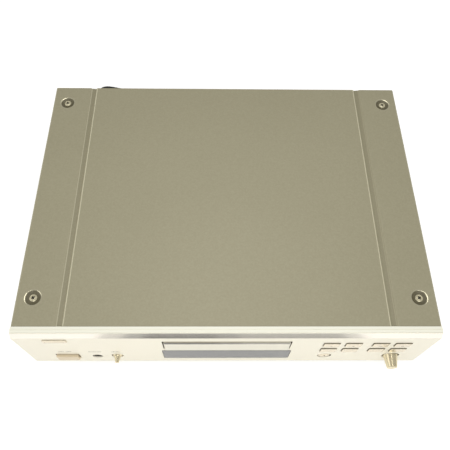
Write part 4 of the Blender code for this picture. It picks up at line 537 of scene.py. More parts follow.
def roundEdges(piece, width, segments=2, angle=30.0):
    pick(piece)
    bevel = piece.modifiers.new("roundEdges", "BEVEL")
    bevel.width = width
    bevel.segments = segments
    bevel.limit_method = "ANGLE"
    bevel.angle_limit = math.radians(angle)
    bevel.miter_outer = "MITER_ARC"
    bpy.ops.object.modifier_apply(modifier=bevel.name)
    return piece


def combine(piece, tool, operation="DIFFERENCE"):
    pick(piece)
    work = piece.modifiers.new("work", "BOOLEAN")
    work.operation = operation
    work.solver = "EXACT"
    work.object = tool
    bpy.ops.object.modifier_apply(modifier=work.name)
    bpy.data.objects.remove(tool)
    return piece


def joined(name, pieces):
    bpy.ops.object.select_all(action="DESELECT")
    for piece in pieces:
        piece.select_set(True)
    bpy.context.view_layer.objects.active = pieces[0]
    bpy.ops.object.join()
    pieces[0].name = name
    return pieces[0]


def copied(piece, name, move):
    made = piece.copy()
    made.data = piece.data.copy()
    made.name = name
    bpy.context.scene.collection.objects.link(made)
    made.location = move
    return settle(made)


def copyOfNode(node, name):
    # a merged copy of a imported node, with its flat faces made whole again
    piece = nodes[node].copy()
    piece.data = nodes[node].data.copy()
    piece.name = name
    piece.parent = None
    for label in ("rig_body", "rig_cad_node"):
        del piece[label]
    bpy.context.scene.collection.objects.link(piece)
    openEdit(piece)
    bpy.ops.mesh.select_mode(type="VERT")
    selectAll()
    bpy.ops.mesh.remove_doubles(threshold=0.000002)
    bpy.ops.mesh.customdata_custom_splitnormals_clear()
    bpy.ops.mesh.dissolve_limited(angle_limit=math.radians(0.6))
    return closeEdit(piece)


def roundedBlock(name, low, high, corner, axis="y", segments=6):
    # a block whose four edges along one axis are rounded
    piece = cubePiece(name, low, high)
    openEdit(piece)
    index = "xyz".index(axis)
    choose(piece, "EDGE", lambda edge: abs(edge.verts[0].co[index] - edge.verts[1].co[index])
        > 0.9 * edge.calc_length())
    bpy.ops.mesh.bevel(offset=corner, segments=segments, affect="EDGES")
    return closeEdit(piece)


def setOn(piece, finishName, replaced=None, body="player", smooth=30.0):
    # smoothed, finished, and set on its body
    pick(piece)
    bpy.ops.object.shade_smooth_by_angle(angle=math.radians(smooth))
    even = piece.modifiers.new("evenNormals", "WEIGHTED_NORMAL")
    even.keep_sharp = True
    bpy.ops.object.modifier_apply(modifier=even.name)
    dress(piece, finishName)
    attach(piece, body)
    if replaced:
        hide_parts(replaced)
    return piece


def shade(piece, finishName, chosen):
    # the faces that the test picks get a finish of their own
    piece.data.materials.append(finish[finishName])
    for face in piece.data.polygons:
        if chosen(face.center, face.normal):
            face.material_index = len(piece.data.materials) - 1


# Places that several pieces share, in plan
discSpot = (0.0, -0.08325)
lensDepth = -0.05875
motorSpot = (-0.01536, -0.11604)
pulleySpot = (0.01664, -0.11604)
trayGearSpot = (0.04082, -0.11604)


# Top cover: one folded sheet with two long grooves and four dished screw seats

coverPlan = {
    "half": 0.217,
    "bend": 0.0022,
    "sheet": 0.0012,
    "groove": 0.1688,
    "grooveTop": 0.0073,
    # the span whose cut bounds the strip of painted highlight at each groove's inner edge
    "grooveHighlightSpan": 0.0093,
    "grooveFloor": 0.0055,
    "grooveDeep": 0.0016,
    "grooveRise": 0.001,
    "dishDeep": 0.002,
    "dishRim": 0.00875,
    "dishFloor": 0.0052,
    "bore": 0.0021,
    "seats": {"front_left": (-0.1993, -0.11875), "front_right": (0.1993, -0.11875),
              "rear_left": (-0.1993, 0.14125), "rear_right": (0.1993, 0.14125)},
}


def makeCover(plan):
    bend, grooveTop, grooveFloor, groove, seats = read(plan, "bend grooveTop grooveFloor groove seats")
    low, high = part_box("top_cover")
    top = high.z
    cover = cubePiece("coverShell", low, high)
    openEdit(cover)
    choose(cover, "EDGE", lambda edge: all(abs(v.co.z - top) < 1e-5 for v in edge.verts)
        and abs(edge.verts[0].co.y - edge.verts[1].co.y) > 0.1)
    bpy.ops.mesh.bevel(offset=bend, segments=8, affect="EDGES")
    for side in (-1, 1):
        for offset in (-plan["grooveHighlightSpan"], -grooveTop, -grooveFloor, grooveFloor, grooveTop):
            selectAll()
            bpy.ops.mesh.bisect(plane_co=(side * (groove + offset / 2), 0, 0), plane_no=(1, 0, 0))
    for line, drop in ((groove - grooveFloor / 2, plan["grooveDeep"]),
            (groove + grooveFloor / 2, plan["grooveRise"])):
        choose(cover, "VERT", lambda vert: abs(vert.co.z - top) < 1e-5
            and abs(abs(vert.co.x) - line) < 1e-5)
        bpy.ops.transform.translate(value=(0, 0, -drop))
    choose(cover, "FACE", lambda face: abs(face.normal.y) > 0.9 or face.normal.z < -0.9)
    bpy.ops.mesh.delete(type="FACE")
    closeEdit(cover)
    roundEdges(cover, 0.0007, 3, 20.0)
    pick(cover)
    wall = cover.modifiers.new("sheet", "SOLIDIFY")
    wall.thickness = plan["sheet"]
    wall.offset = -1
    wall.use_even_offset = True
    bpy.ops.object.modifier_apply(modifier=wall.name)
    sheet, deep, rim, floor, bore = read(plan, "sheet dishDeep dishRim dishFloor bore")
    for x, y in seats.values():
        cup = turnedPiece("cup", (x, y, top), (0, 0, 1), ((floor + sheet, -deep - sheet),
            (rim + sheet, -sheet), (rim + sheet, -sheet / 2)))
        combine(cover, cup, "UNION")
        dish = turnedPiece("dish", (x, y, top), (0, 0, 1), ((bore, -deep - 2 * sheet), (bore, -deep),
            (floor, -deep), (floor + 0.0006, -deep + 0.00018), (rim - 0.0008, -0.00052),
            (rim - 0.0002, -0.00016), (rim + 0.0009, 0.00004), (rim + 0.0009, 0.001)))
        combine(cover, dish)
    setOn(cover, "coverPaint", "top_cover", smooth=35.0)
    near, reach = groove, grooveTop / 2 + 0.0004
    # painted shade on the floors of the grooves
    shade(cover, "coverDusty", lambda place, normal: abs(abs(place.x) - near) < reach and normal.z > 0.97
        and top - 0.0017 < place.z < top - 0.0004)
    inner = near - grooveTop / 2
    # painted highlight along the inner edges of both grooves
    shade(cover, "coverWorn", lambda place, normal: -0.0009 < abs(place.x) - inner < 0.0005
        and normal.z > 0.2)
    # painted highlight on the left groove's outer wall
    shade(cover, "coverFold", lambda place, normal: 0.0009 - reach < place.x + near < -0.0009
        and 0.2 < normal.z < 0.97)
    # painted highlight along the folds at both sides
    shade(cover, "coverFold", lambda place, normal: abs(place.x) > plan["half"] - bend
        and 0.35 < normal.z < 0.98)
    nearest = lambda place: min(math.hypot(place.x - x, place.y - y) for x, y in seats.values())
    # painted shade on the floors and walls of the screw dishes
    shade(cover, "seatDark", lambda place, normal: place.z > top - deep - 0.0004
        and nearest(place) < rim - 0.0009)
    # a paler, glossier ring round each dish: painted highlight, with a gloss of its own
    shade(cover, "seatRim", lambda place, normal: place.z > top - 0.001
        and rim - 0.0009 < nearest(place) < rim + 0.0011)


makeCover(coverPlan)


# Cover screws: a rounded head with a ring round a cross recess

screwPlan = {"head": 0.0041, "high": 0.0016, "shaft": 0.0018, "long": 0.0064, "recess": 0.0019,
    "arm": 0.0016, "deep": 0.0011, "gap": 0.0003}


def makeCoverScrews(plan):
    head, high, shaft = plan["head"], plan["high"], plan["shaft"]
    screw = upright("screwHead", (0, 0), ((shaft, -plan["long"]), (shaft, 0), (head - 0.0002, 0),
        (head, 0.0002), (head, 0.0006), (head - 0.0004, 0.001), (head - 0.0009, 0.00125),
        (head - 0.00125, 0.0012), (head - 0.0015, 0.001), (head - 0.0018, 0.00125),
        (0.0017, high - 0.00012), (0.0009, high), (0.0001, high)), 48)
    for turn in (0, 1):
        long, thin = plan["recess"], plan["arm"] / 2
        reach = (long, thin) if turn else (thin, long)
        blade = cubePiece("blade", (-reach[0], -reach[1], high - plan["deep"]),
            (reach[0], reach[1], high + 0.001))
        combine(screw, blade)
    pick(screw)
    screw.rotation_euler = (0, 0, 0.5)
    settle(screw)
    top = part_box("top_cover")[1].z
    for name, (x, y) in coverPlan["seats"].items():
        seat = top - coverPlan["dishDeep"] + plan["gap"]
        piece = copied(screw, f"coverScrew_{name}", (x, y, seat))
        setOn(piece, "screwOlive", f"cover_screw_{name}")
        # painted shade inside the cross recess
        shade(piece, "deepDark", lambda place, normal: math.hypot(place.x - x, place.y - y) < 0.0022
            and seat < place.z < seat + high - 0.0004)
    bpy.data.objects.remove(screw)


makeCoverScrews(screwPlan)
print("stage: cover and its screws")


# Front panel: a thick brushed plate with a bright sloped edge along its top

panelPlan = {
    "face": -0.15975,
    "bottom": 0.014,
    "half": 0.217,
    "deep": 0.0104,
    "high": 0.0958,
    "slopeDeep": 0.0034,
    "slopeHigh": 0.0065,
    "ledgeDeep": 0.0068,
    "ledgeDrop": 0.0006,
    "lineWide": 0.00035,
    "lineDeep": 0.0004,
    "edge": 0.0003,
    "tray": (-0.0672, 0.0672, 0.0505, 0.078, 0.001),
    "window": (-0.0699, 0.0699, 0.012, 0.0455, 0.003),
    "power": (-0.18785, -0.16215, 0.0145, 0.0305, 0.0009),
    "wells": {"round": (0.1092, 0.023, 0.00775), "select": (0.1837, 0.023, 0.00965),
              "level": (-0.1207, 0.0238, 0.0065), "jack": (-0.143, 0.0216, 0.0056)},
}
buttonPlan = {"wide": 0.0169, "high": 0.0115, "proud": 0.0012, "gap": 0.00035, "edge": 0.0005,
    "corner": 0.0006, "columns": (0.1095, 0.1327, 0.1613, 0.1846), "rows": (0.0662, 0.0464)}


def out(x, depth, z):
    # a place on the panel: across, behind its face, and above its lower edge
    return Vector((x, panelPlan["face"] + depth, panelPlan["bottom"] + z))


def behind(depth):
    return out(0, depth, 0).y


def panelCutter(left, right, low, high, corner, near, far):
    return roundedBlock("cutter", out(left, near, low), out(right, far, high), corner)


def polishSlopes(piece):
    # faces that lean forward under a top edge are cut bright
    shade(piece, "slopePolished", lambda place, normal: normal.y < -0.4 and normal.z > 0.25)


def shadeSides(piece):
    # painted shade on side walls and the walls of openings, not on the floors of openings
    shade(piece, "recessShade", lambda place, normal: abs(normal.y) < 0.5 and abs(place.x) < 0.2165
        and panelPlan["face"] - 0.004 < place.y < panelPlan["face"] + 0.0102 and 0.02 < place.z < 0.1)


def makePanel(plan):
    half, deep, face, slopeDeep, ledgeDeep, ledgeDrop, lineDeep = read(plan,
        "half deep face slopeDeep ledgeDeep ledgeDrop lineDeep")
    panel = cubePiece("panelPlate", out(-half, 0, 0), out(half, deep, plan["high"]))
    top = plan["bottom"] + plan["high"]
    openEdit(panel)
    for where, normal in (((0, 0, top - plan["slopeHigh"]), (0, 0, 1)),
            ((0, face + slopeDeep, 0), (0, 1, 0)), ((0, face + ledgeDeep, 0), (0, 1, 0))):
        selectAll()
        bpy.ops.mesh.bisect(plane_co=where, plane_no=normal)
    for depth, move in ((0, (0, slopeDeep * 0.999, -ledgeDrop)), (slopeDeep, (0, 0, -ledgeDrop))):
        choose(panel, "VERT", lambda vert: abs(vert.co.z - top) < 1e-5
            and abs(vert.co.y - face - depth) < 1e-5)
        bpy.ops.transform.translate(value=move)
    selectAll()
    bpy.ops.mesh.remove_doubles(threshold=0.00002)
    bpy.ops.mesh.dissolve_limited(angle_limit=math.radians(0.3))
    closeEdit(panel)
    near, far = -0.004, deep + 0.004
    for key in ("tray", "power"):
        combine(panel, panelCutter(*plan[key], near, far))
    left, right, low, high, corner = plan["window"]
    combine(panel, panelCutter(left, right, low, high, corner, near, 0.0035))
    combine(panel, panelCutter(left - 0.003, right + 0.003, low - 0.003, high + 0.003, corner, 0.003, far))
    gap = buttonPlan["gap"]
    for z in buttonPlan["rows"]:
        for x in buttonPlan["columns"]:
            wide, high = buttonPlan["wide"] / 2 + gap, buttonPlan["high"] / 2 + gap
            combine(panel, panelCutter(x - wide, x + wide, z - high, z + high, 0.0009, near, far))
    for x, z, radius in plan["wells"].values():
        drilled(panel, out(x, near, z), (0, 1, 0), radius, 0, far - near)
    for depth, drop in ((ledgeDeep, lineDeep), (slopeDeep + 0.0003, ledgeDrop + lineDeep)):
        line = cubePiece("line", (-0.3, face + depth, top - drop),
            (0.3, face + depth + plan["lineWide"], top + 0.01))
        combine(panel, line)
    roundEdges(panel, plan["edge"], 2, 25.0)
    setOn(panel, "panelBrushed", "front_panel")
    polishSlopes(panel)
    # the top ledge is matte, and its darker tone is painted shade
    shade(panel, "panelLedge", lambda place, normal: normal.z > 0.9
        and place.z > out(0, 0, plan["high"] - 0.002).z)
    low, high = out(0, 0, 0.002).z, out(0, 0, 0.088).z
    # painted shade on the walls of the panel's openings
    shade(panel, "recessShade", lambda place, normal: abs(normal.y) < 0.5 and normal.z < 0.4
        and abs(place.x) < 0.2165 and place.y > face + 0.0003 and low < place.z < high)


makePanel(panelPlan)


# Push buttons: eight blocks with softened faces, and a domed round one

def makeButtons(plan):
    number = 0
    for z in plan["rows"]:
        for x in plan["columns"]:
            number += 1
            low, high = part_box(f"button_{number}")
            wide, tall = plan["wide"] / 2, plan["high"] / 2
            cap = roundedBlock(f"pushButton_{number}", out(x - wide, -plan["proud"], z - tall),
                out(x + wide, 0.0107, z + tall), plan["corner"])
            roundEdges(cap, plan["edge"], 3, 40.0)
            flange = cubePiece("flange", (low.x, behind(0.0106), low.z), (high.x, behind(0.0119), high.z))
            combine(cap, flange, "UNION")
            stem = cubePiece("stem", (x - 0.002, behind(0.0117), low.z), (x + 0.002, high.y, high.z))
            combine(cap, stem, "UNION")
            setOn(cap, "controlMetal", f"button_{number}", body=f"button_{number}", smooth=40.0)
            shadeSides(cap)


makeButtons(buttonPlan)


def makeRoundButton():
    x, z, _ = panelPlan["wells"]["round"]
    radius = 0.0066
    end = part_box("round_button")[1].y - panelPlan["face"]
    cap = turnedPiece("roundButton", out(x, 0, z), (0, 1, 0), ((0.0005, -0.0008), (0.002, -0.00074),
        (0.0038, -0.00052), (0.0052, -0.00012), (0.006, 0.0003), (0.0064, 0.0007), (radius, 0.0012),
        (radius, 0.0107), (0.0083, 0.0107), (0.0083, 0.0119), (0.002, 0.0119), (0.002, end)), 64)
    setOn(cap, "controlMetal", "round_button", body="round_button", smooth=40.0)
    shadeSides(cap)


makeRoundButton()


def makePowerButton():
    low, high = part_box("power_button")
    cap = roundedBlock("powerButton", (low.x, low.y, low.z), (high.x, behind(0.0149), high.z), 0.0012)
    roundEdges(cap, 0.0007, 4, 40.0)
    x, wide = -0.175, 0.00345
    stem = cubePiece("stem", (x - wide, behind(0.0145), low.z + 0.002), (x + wide, high.y, high.z - 0.002))
    combine(cap, stem, "UNION")
    setOn(cap, "powerTan", "power_button", body="power_button", smooth=40.0)


makePowerButton()


# Knobs: turned, slightly hollow at the tip, with a pointer line let into the front

knobPlans = {
    "select": {"base": 0.0078, "tip": 0.0058, "reach": 0.014, "tail": 0.009, "bore": 0.0033,
               "boreDeep": 0.013, "flare": 0.0006, "slot": 0.0005},
    "level": {"base": 0.0037, "tip": 0.0021, "reach": 0.008, "tail": 0.013, "bore": 0.0017,
              "boreDeep": 0.009, "flare": 0.0014, "slot": 0.0003},
}


def makeKnob(name, plan):
    x, z, _ = panelPlan["wells"][name]
    base, tip, reach, tail, bore, flare, slot = read(plan, "base tip reach tail bore flare slot")
    edge = tip * 0.12
    knob = turnedPiece(f"{name}Knob", out(x, 0, z), (0, 1, 0), ((tip * 0.08, -reach + edge * 0.5),
        (tip * 0.5, -reach + edge * 0.42), (tip * 0.8, -reach + edge * 0.2), (tip - edge, -reach),
        (tip - edge * 0.35, -reach + edge * 0.25), (tip, -reach + edge), (base - edge * 0.5, -reach * 0.2),
        (base, -reach * 0.12), (base + flare * 0.35, -reach * 0.03), (base + flare, reach * 0.06),
        (base + flare, reach * 0.12), (base, reach * 0.16), (base, tail - 0.0004), (base - 0.0004, tail),
        (bore, tail), (bore, tail - plan["boreDeep"])), 72)
    mark = cubePiece("mark", out(x - slot, -reach - 0.001, z + tip * 0.25),
        out(x + slot, -reach + 0.0009, z + base))
    combine(knob, mark)
    setOn(knob, "knobMetal", f"{name}_knob", body=f"{name}_knob", smooth=35.0)


for name, plan in knobPlans.items():
    makeKnob(name, plan)


# Tray front, display window, blank badge and headphone socket

def makeTrayFront():
    low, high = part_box("tray_front")
    front = cubePiece("trayFront", low, high)
    openEdit(front)
    choose(front, "EDGE", lambda edge: all(abs(v.co.z - high.z) < 1e-5 and abs(v.co.y - low.y) < 1e-5
        for v in edge.verts))
    bpy.ops.mesh.bevel(offset=0.003, segments=1, affect="EDGES")
    choose(front, "VERT", lambda vert: vert.co.z > high.z - 1e-5 and vert.co.y < low.y + 0.004)
    bpy.ops.transform.translate(value=(0, -0.0013, 0))
    closeEdit(front)
    roundEdges(front, 0.0004, 3, 25.0)
    # the tray front takes the panel's metal made darker, as painted shade
    setOn(front, "trayBrushed", "tray_front", body="tray")
    polishSlopes(front)
    # painted shadow on the top of the tray front, under the opening's upper edge
    shade(front, "trayEdge", lambda place, normal: normal.z > 0.6)


def makeWindow():
    low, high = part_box("display_window")
    left, right, bottom, top, corner = panelPlan["window"]
    pane = roundedBlock("windowPane", out(left + 0.0003, 0.0002, bottom + 0.0003),
        out(right - 0.0003, 0.0045, top - 0.0003), corner - 0.0003)
    roundEdges(pane, 0.00025, 2, 40.0)
    flange = cubePiece("flange", (low.x, behind(0.0033), low.z), high)
    combine(pane, flange, "UNION")
    # a strip along the pane's top is split off for a painted shadow
    openEdit(pane)
    bpy.ops.mesh.bisect(plane_co=out(0, 0, top - 0.003), plane_no=(0, 0, 1))
    closeEdit(pane)
    setOn(pane, "smokedWindow", "display_window", smooth=35.0)
    # painted shadow along the pane's top
    shade(pane, "deepDark", lambda place, normal: place.z > out(0, 0, top - 0.003).z)


def makeBadge():
    # left bare: a plate with a raised rim round a sunk field
    low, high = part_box("name_plate")
    badge = roundedBlock("badgePlate", low, high, 0.0008)
    openEdit(badge)
    choose(badge, "FACE", lambda face: face.normal.y < -0.9)
    bpy.ops.mesh.inset(thickness=0.0006)
    bpy.ops.transform.translate(value=(0, 0.00025, 0))
    closeEdit(badge)
    roundEdges(badge, 0.0001, 2, 30.0)
    setOn(badge, "controlMetal", "name_plate")


def makeJack():
    low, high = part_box("headphone_socket")
    x, z, _ = panelPlan["wells"]["jack"]
    ring = turnedPiece("jackRing", out(x, 0, z), (0, 1, 0), mm(3.1, 14.2, 4.4, 14.2, 4.8, 13.9, 4.8, 4.4,
        4.5, 4.1, 3.6, 4.2, 3.4, 4.5, 3.25, 5, 3.25, 14.1), 64)
    setOn(ring, "brassRing", "headphone_socket", smooth=35.0)
    # the liner's near-black tone is painted shade in the jack's opening
    liner = turnedPiece("jackLiner", out(x, 0, z), (0, 1, 0), mm(5.5, 10, 5.5, 1.6, 5.3, 1.4, 5.1, 1.4, 5,
        1.6, 5, 4), 64)
    drilled(liner, out(x, 0, z), (0, 1, 0), 0.005, -0.001, 0.012, 64)
    setOn(liner, "deepDark")
    body = cubePiece("jackBody", (low.x, behind(0.0135), low.z), high)
    bore = turnedPiece("bore", out(x, 0.01, z), (0, 1, 0), ((0.00325, 0), (0.00325, 0.0305)), 48)
    combine(body, bore)
    clear = turnedPiece("clear", out(x, 0.01, z), (0, 1, 0), ((0.0049, 0), (0.0049, 0.0043)), 48)
    combine(body, clear)
    roundEdges(body, 0.0003, 2, 40.0)
    setOn(body, "blackPlastic")


makeTrayFront()
makeWindow()
makeBadge()
makeJack()


# Generic words and signs, printed a hair above the metal

printPlan = {
    "proud": 0.00004,
    "words": (("ON  OFF", -0.175, 0.0388, 0.0026), ("PHONES", -0.143, 0.038, 0.0026),
              ("LEVEL", -0.1207, 0.038, 0.0026)),
    "sign": 0.0011,
    "signs": {1: "play", 2: "stop", 3: "rewind", 4: "forward"},
    "low": 0.0021,
}


def printedWord(word, x, z, high, y):
    bpy.ops.object.select_all(action="DESELECT")
    bpy.ops.object.text_add(location=(0, 0, 0))
    text = bpy.context.object
    text.data.body = word
    text.data.size = high * 1.4
    text.data.extrude = printPlan["proud"]
    text.data.resolution_u = 2
    text.data.align_x = "CENTER"
    bpy.ops.object.convert(target="MESH")
    text = settle(bpy.context.object)
    text.name = "word"
    pick(text)
    stood = Matrix.Rotation(math.pi / 2, 4, "X")
    text.matrix_world = Matrix.Translation((x, y, panelPlan["bottom"] + z)) @ stood
    bpy.ops.object.transform_apply(location=True, rotation=True, scale=True)
    return text


def wedge(x, y, z, size, turn):
    # a flat three-cornered sign that points left (-1) or right (1)
    bpy.ops.object.select_all(action="DESELECT")
    bpy.ops.mesh.primitive_cylinder_add(vertices=3, radius=size, depth=2 * printPlan["proud"],
        location=(x, y, z), rotation=(math.pi / 2, turn * math.pi / 2, 0))
    return settle(bpy.context.object)


def bar(x, y, z, wide, high):
    thin = printPlan["proud"]
    return cubePiece("bar", *about(x, y, wide / 2, thin, z - high / 2, z + high / 2))


def makeSigns(plan):
    size, number = plan["sign"], 0
    for row in buttonPlan["rows"]:
        for x in buttonPlan["columns"]:
            number += 1
            y, z = panelPlan["face"] - buttonPlan["proud"], panelPlan["bottom"] + row - plan["low"]
            shape = plan["signs"].get(number)
            if shape == "play":
                parts = [wedge(x, y, z, size, 1)]
            elif shape == "stop":
                parts = [bar(x, y, z, size * 1.6, size * 1.6)]
            elif shape:
                parts = [wedge(x + s * size * 0.8, y, z, size, -1 if shape == "rewind" else 1)
                    for s in (-1, 1)]
            else:
                continue
            setOn(joined(f"buttonSign_{number}", parts), "printDark", body=f"button_{number}")
    x = panelPlan["wells"]["round"][0]
    dot = bar(x, panelPlan["face"] - 0.0008, panelPlan["bottom"] + 0.0245, size * 1.4, size * 1.8)
    setOn(joined("roundSign", [dot]), "printDark", body="round_button")
    words = [printedWord(*word, panelPlan["face"]) for word in plan["words"]]
    setOn(joined("panelWords", words), "printDark")


makeSigns(printPlan)
print("stage: front panel and its controls")


# Plug, cord bushing and the clip round the coil

plugPlan = {"back": -0.0602, "front": -0.0302, "across": 0.2426, "wide": 0.022, "high": 0.012,
    "edge": 0.0022, "grips": 4, "gripStep": 0.0032, "blade": (0.0063, 0.0015, 0.0127), "bladeEnd": -0.0132,
    "hole": 0.0015}


def makePlug(plan):
    back, wide, front, bladeEnd, hole = read(plan, "back wide front bladeEnd hole")
    y, z = plan["across"], plan["high"] / 2
    body = cubePiece("plugBody", (back, y - wide / 2, 0), (front, y + wide / 2, plan["high"]))
    openEdit(body)
    choose(body, "FACE", lambda face: face.normal.x < -0.9)
    bpy.ops.transform.resize(value=(1, 0.62, 0.9), center_override=(back, y, z))
    closeEdit(body)
    roundEdges(body, plan["edge"], 4, 30.0)
    for k in range(plan["grips"]):
        x = back + 0.006 + k * plan["gripStep"]
        for side in (-1, 1):
            groove = cubePiece("groove", (x, y + side * 0.0085 - 0.0004 - 0.004 * (side < 0), 0.0022),
                (x + 0.0011, y + side * 0.0085 + 0.0004 + 0.004 * (side > 0), plan["high"] - 0.0022))
            combine(body, groove)
    start = Vector((back - 0.012, y, 0.00325))
    end = Vector((back + 0.0012, y, 0.0056))
    rings = [(0.00305, 0)]
    for k in range(5):
        along, radius = 0.0009 + k * 0.0023, 0.0031 + k * 0.0003
        rings += [(radius, along), (radius, along + 0.0012), (radius - 0.0005, along + 0.00135),
            (radius - 0.0005, along + 0.00215)]
    rings += [(0.0048, 0.0126), (0.0048, (end - start).length)]
    relief = turnedPiece("relief", start, end - start, rings, 28)
    combine(body, relief, "UNION")
    setOn(body, "blackRubber", "mains_plug")
    high, thin, apart = plan["blade"]
    blades = []
    for side in (-1, 1):
        blade = roundedBlock("blade", (front - 0.002, y + side * apart / 2 - thin / 2, z - high / 2),
            (bladeEnd, y + side * apart / 2 + thin / 2, z + high / 2), 0.0011)
        bore = turnedPiece("bore", (bladeEnd - 0.004, y + side * apart / 2 - thin, z), (0, 1, 0),
            ((hole, 0), (hole, 2 * thin)), 20)
        combine(blade, bore)
        roundEdges(blade, 0.00025, 2, 40.0)
        blades.append(blade)
    return body, setOn(joined("plugBlades", blades), "brightSteel")


clipPlan = {"centre": leadPlan["coilCentre"], "outer": 0.0376, "inner": 0.0224, "wall": 0.0012, "top": 0.0264,
    "wide": 0.009}


def makeClip(plan):
    wide, outer, inner, top = read(plan, "wide outer inner top")
    x, y = plan["centre"]
    clip = cubePiece("coilClip", (x - wide / 2, y - outer, 0.0006), (x + wide / 2, y - inner, top))
    wall = plan["wall"]
    inside = cubePiece("inside", (x - wide, y - outer + wall, -0.001),
        (x + wide, y - inner - wall, top - wall))
    combine(clip, inside)
    roundEdges(clip, 0.0005, 3, 40.0)
    return setOn(clip, "blackPlastic")


bushPlan = {"centre": (-0.175, 0, 0.0618), "plate": (0.16355, 0.16475), "flange": 0.0062, "neck": 0.0049,
    "tip": 0.0042, "end": 0.19105, "ribs": 6}


def makeBushing(plan):
    flange, neck, end, ribs, tip = read(plan, "flange neck end ribs tip")
    inside, outside = plan["plate"]
    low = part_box("cord_bushing")[0].y
    rings = [(flange - 0.0004, low), (flange, low + 0.0003), (flange, inside - 0.0001),
        (neck, inside - 0.0001), (neck, outside + 0.0001), (flange, outside + 0.0001),
        (flange, outside + 0.0032), (flange - 0.0005, outside + 0.0038)]
    start, step = outside + 0.0042, (end - outside - 0.0046) / ribs
    for k in range(ribs):
        radius = flange - 0.0004 - (flange - tip - 0.0004) * (k + 0.5) / plan["ribs"]
        rings += [(radius, start + k * step), (radius - 0.0001, start + (k + 0.62) * step),
            (radius - 0.0009, start + (k + 0.66) * step), (radius - 0.0009, start + (k + 0.96) * step)]
    rings += [(tip, end - 0.0004), (tip - 0.0003, end)]
    bush = turnedPiece("cordBushing", plan["centre"], (0, 1, 0), rings, 40)
    setOn(bush, "blackRubber", "cord_bushing")


plug, blades = makePlug(plugPlan)
clip = makeClip(clipPlan)
makeBushing(bushPlan)


# Small screws with a cross in the head, used at the rear and underneath

def smallScrew(name, centre, axis, radius, high):
    axis = Vector(axis)
    head = turnedPiece(name, centre, axis, ((radius, -0.0006), (radius, high * 0.35),
        (radius * 0.93, high * 0.65), (radius * 0.7, high * 0.9), (radius * 0.25, high)), 32)
    for turn in (0, 1):
        size = [radius * 1.1 if turn == 0 else radius * 0.22, radius * 0.22 if turn == 0 else radius * 1.1]
        half = [0, 0, 0]
        for index in range(3):
            half[index] = high if abs(axis[index]) > 0.5 else size.pop(0) / 2
        middle = Vector(centre) + axis * high * 1.3
        combine(head, cubePiece("cross", middle - Vector(half), middle + Vector(half)))
    return head


# Feet: a stepped plastic shell round a rubber ring, held by one screw each

footPlan = {"across": 0.172, "depths": {"front": 0.05, "rear": 0.283}, "shell": 0.0235, "neck": 0.0205,
    "top": 0.0137, "pad": 0.017, "proud": 0.0008, "hole": 0.0052, "screw": 0.0034}


def makeFeet(plan):
    hole, proud, neck, top = read(plan, "hole proud neck top")
    for end, depth in plan["depths"].items():
        for side, sign in (("left", -1), ("right", 1)):
            node = f"foot_{end}_{side}"
            centre = (sign * plan["across"], behind(depth), 0)
            shell = turnedPiece(f"footShell_{end}_{side}", centre, (0, 0, 1),
                ((0.0035, 0.0052), (hole, 0.0052), (hole, proud), (plan["shell"] - 0.0006, proud),
                (plan["shell"], proud + 0.0006), (plan["shell"], 0.0047), (plan["shell"] - 0.0005, 0.0052),
                (neck + 0.0006, 0.0053), (neck, 0.0059), (neck, top - 0.0004), (neck - 0.0004, top)), 64)
            setOn(shell, "blackPlastic", node)
            pad = turnedPiece(f"footPad_{end}_{side}", centre, (0, 0, 1),
                ((hole + 0.0004, 0.0012), (hole + 0.0004, 0.0003), (hole + 0.0008, 0.0), (0.009, 0.0),
                (0.0093, 0.0004), (0.0099, 0.0004), (0.0102, 0.0), (0.013, 0.0), (0.0133, 0.0004),
                (0.0139, 0.0004), (0.0142, 0.0), (plan["pad"] - 0.0004, 0.0), (plan["pad"], 0.0004),
                (plan["pad"], 0.0012)), 64)
            setOn(pad, "blackRubber")
            head = smallScrew(f"footScrew_{end}_{side}", (centre[0], centre[1], 0.0052), (0, 0, -1),
                plan["screw"], 0.0016)
            setOn(head, "brightSteel")


makeFeet(footPlan)


# Rear: vented panel, sockets with white and red cores, screws and a blank plate

rearPlan = {"face": 0.16475, "slots": 13, "slotStep": 0.0054, "slotWide": 0.0024, "slotLow": 0.046,
    "slotHigh": 0.074, "groups": (-0.118, -0.02), "screws": ((-0.204, 0.0985), (0.204, 0.0985),
    (-0.204, 0.0235), (0.204, 0.0235), (0.0, 0.0985), (0.085, 0.0985), (-0.085, 0.0985)), "screw": 0.0031,
    "plate": (0.117, 0.184, 0.0335, 0.0545), "blank": (0.06, 0.106, 0.066, 0.084)}
socketPlan = {"z": 0.044, "analog": {"left": (0.175, "whitePlastic"), "right": (0.161, "redPlastic")},
    "digital": {"out": (0.126, "blackPlastic")}, "outer": 0.0041, "inner": 0.0033, "bore": 0.0017,
    "tip": 0.17375}


def slotRow(name, plan, left, low, high, near, far):
    slots = [roundedBlock(name, (left + k * plan["slotStep"], near, low),
        (left + k * plan["slotStep"] + plan["slotWide"], far, high), plan["slotWide"] * 0.49, "y", 4)
        for k in range(plan["slots"])]
    return joined(name, slots)


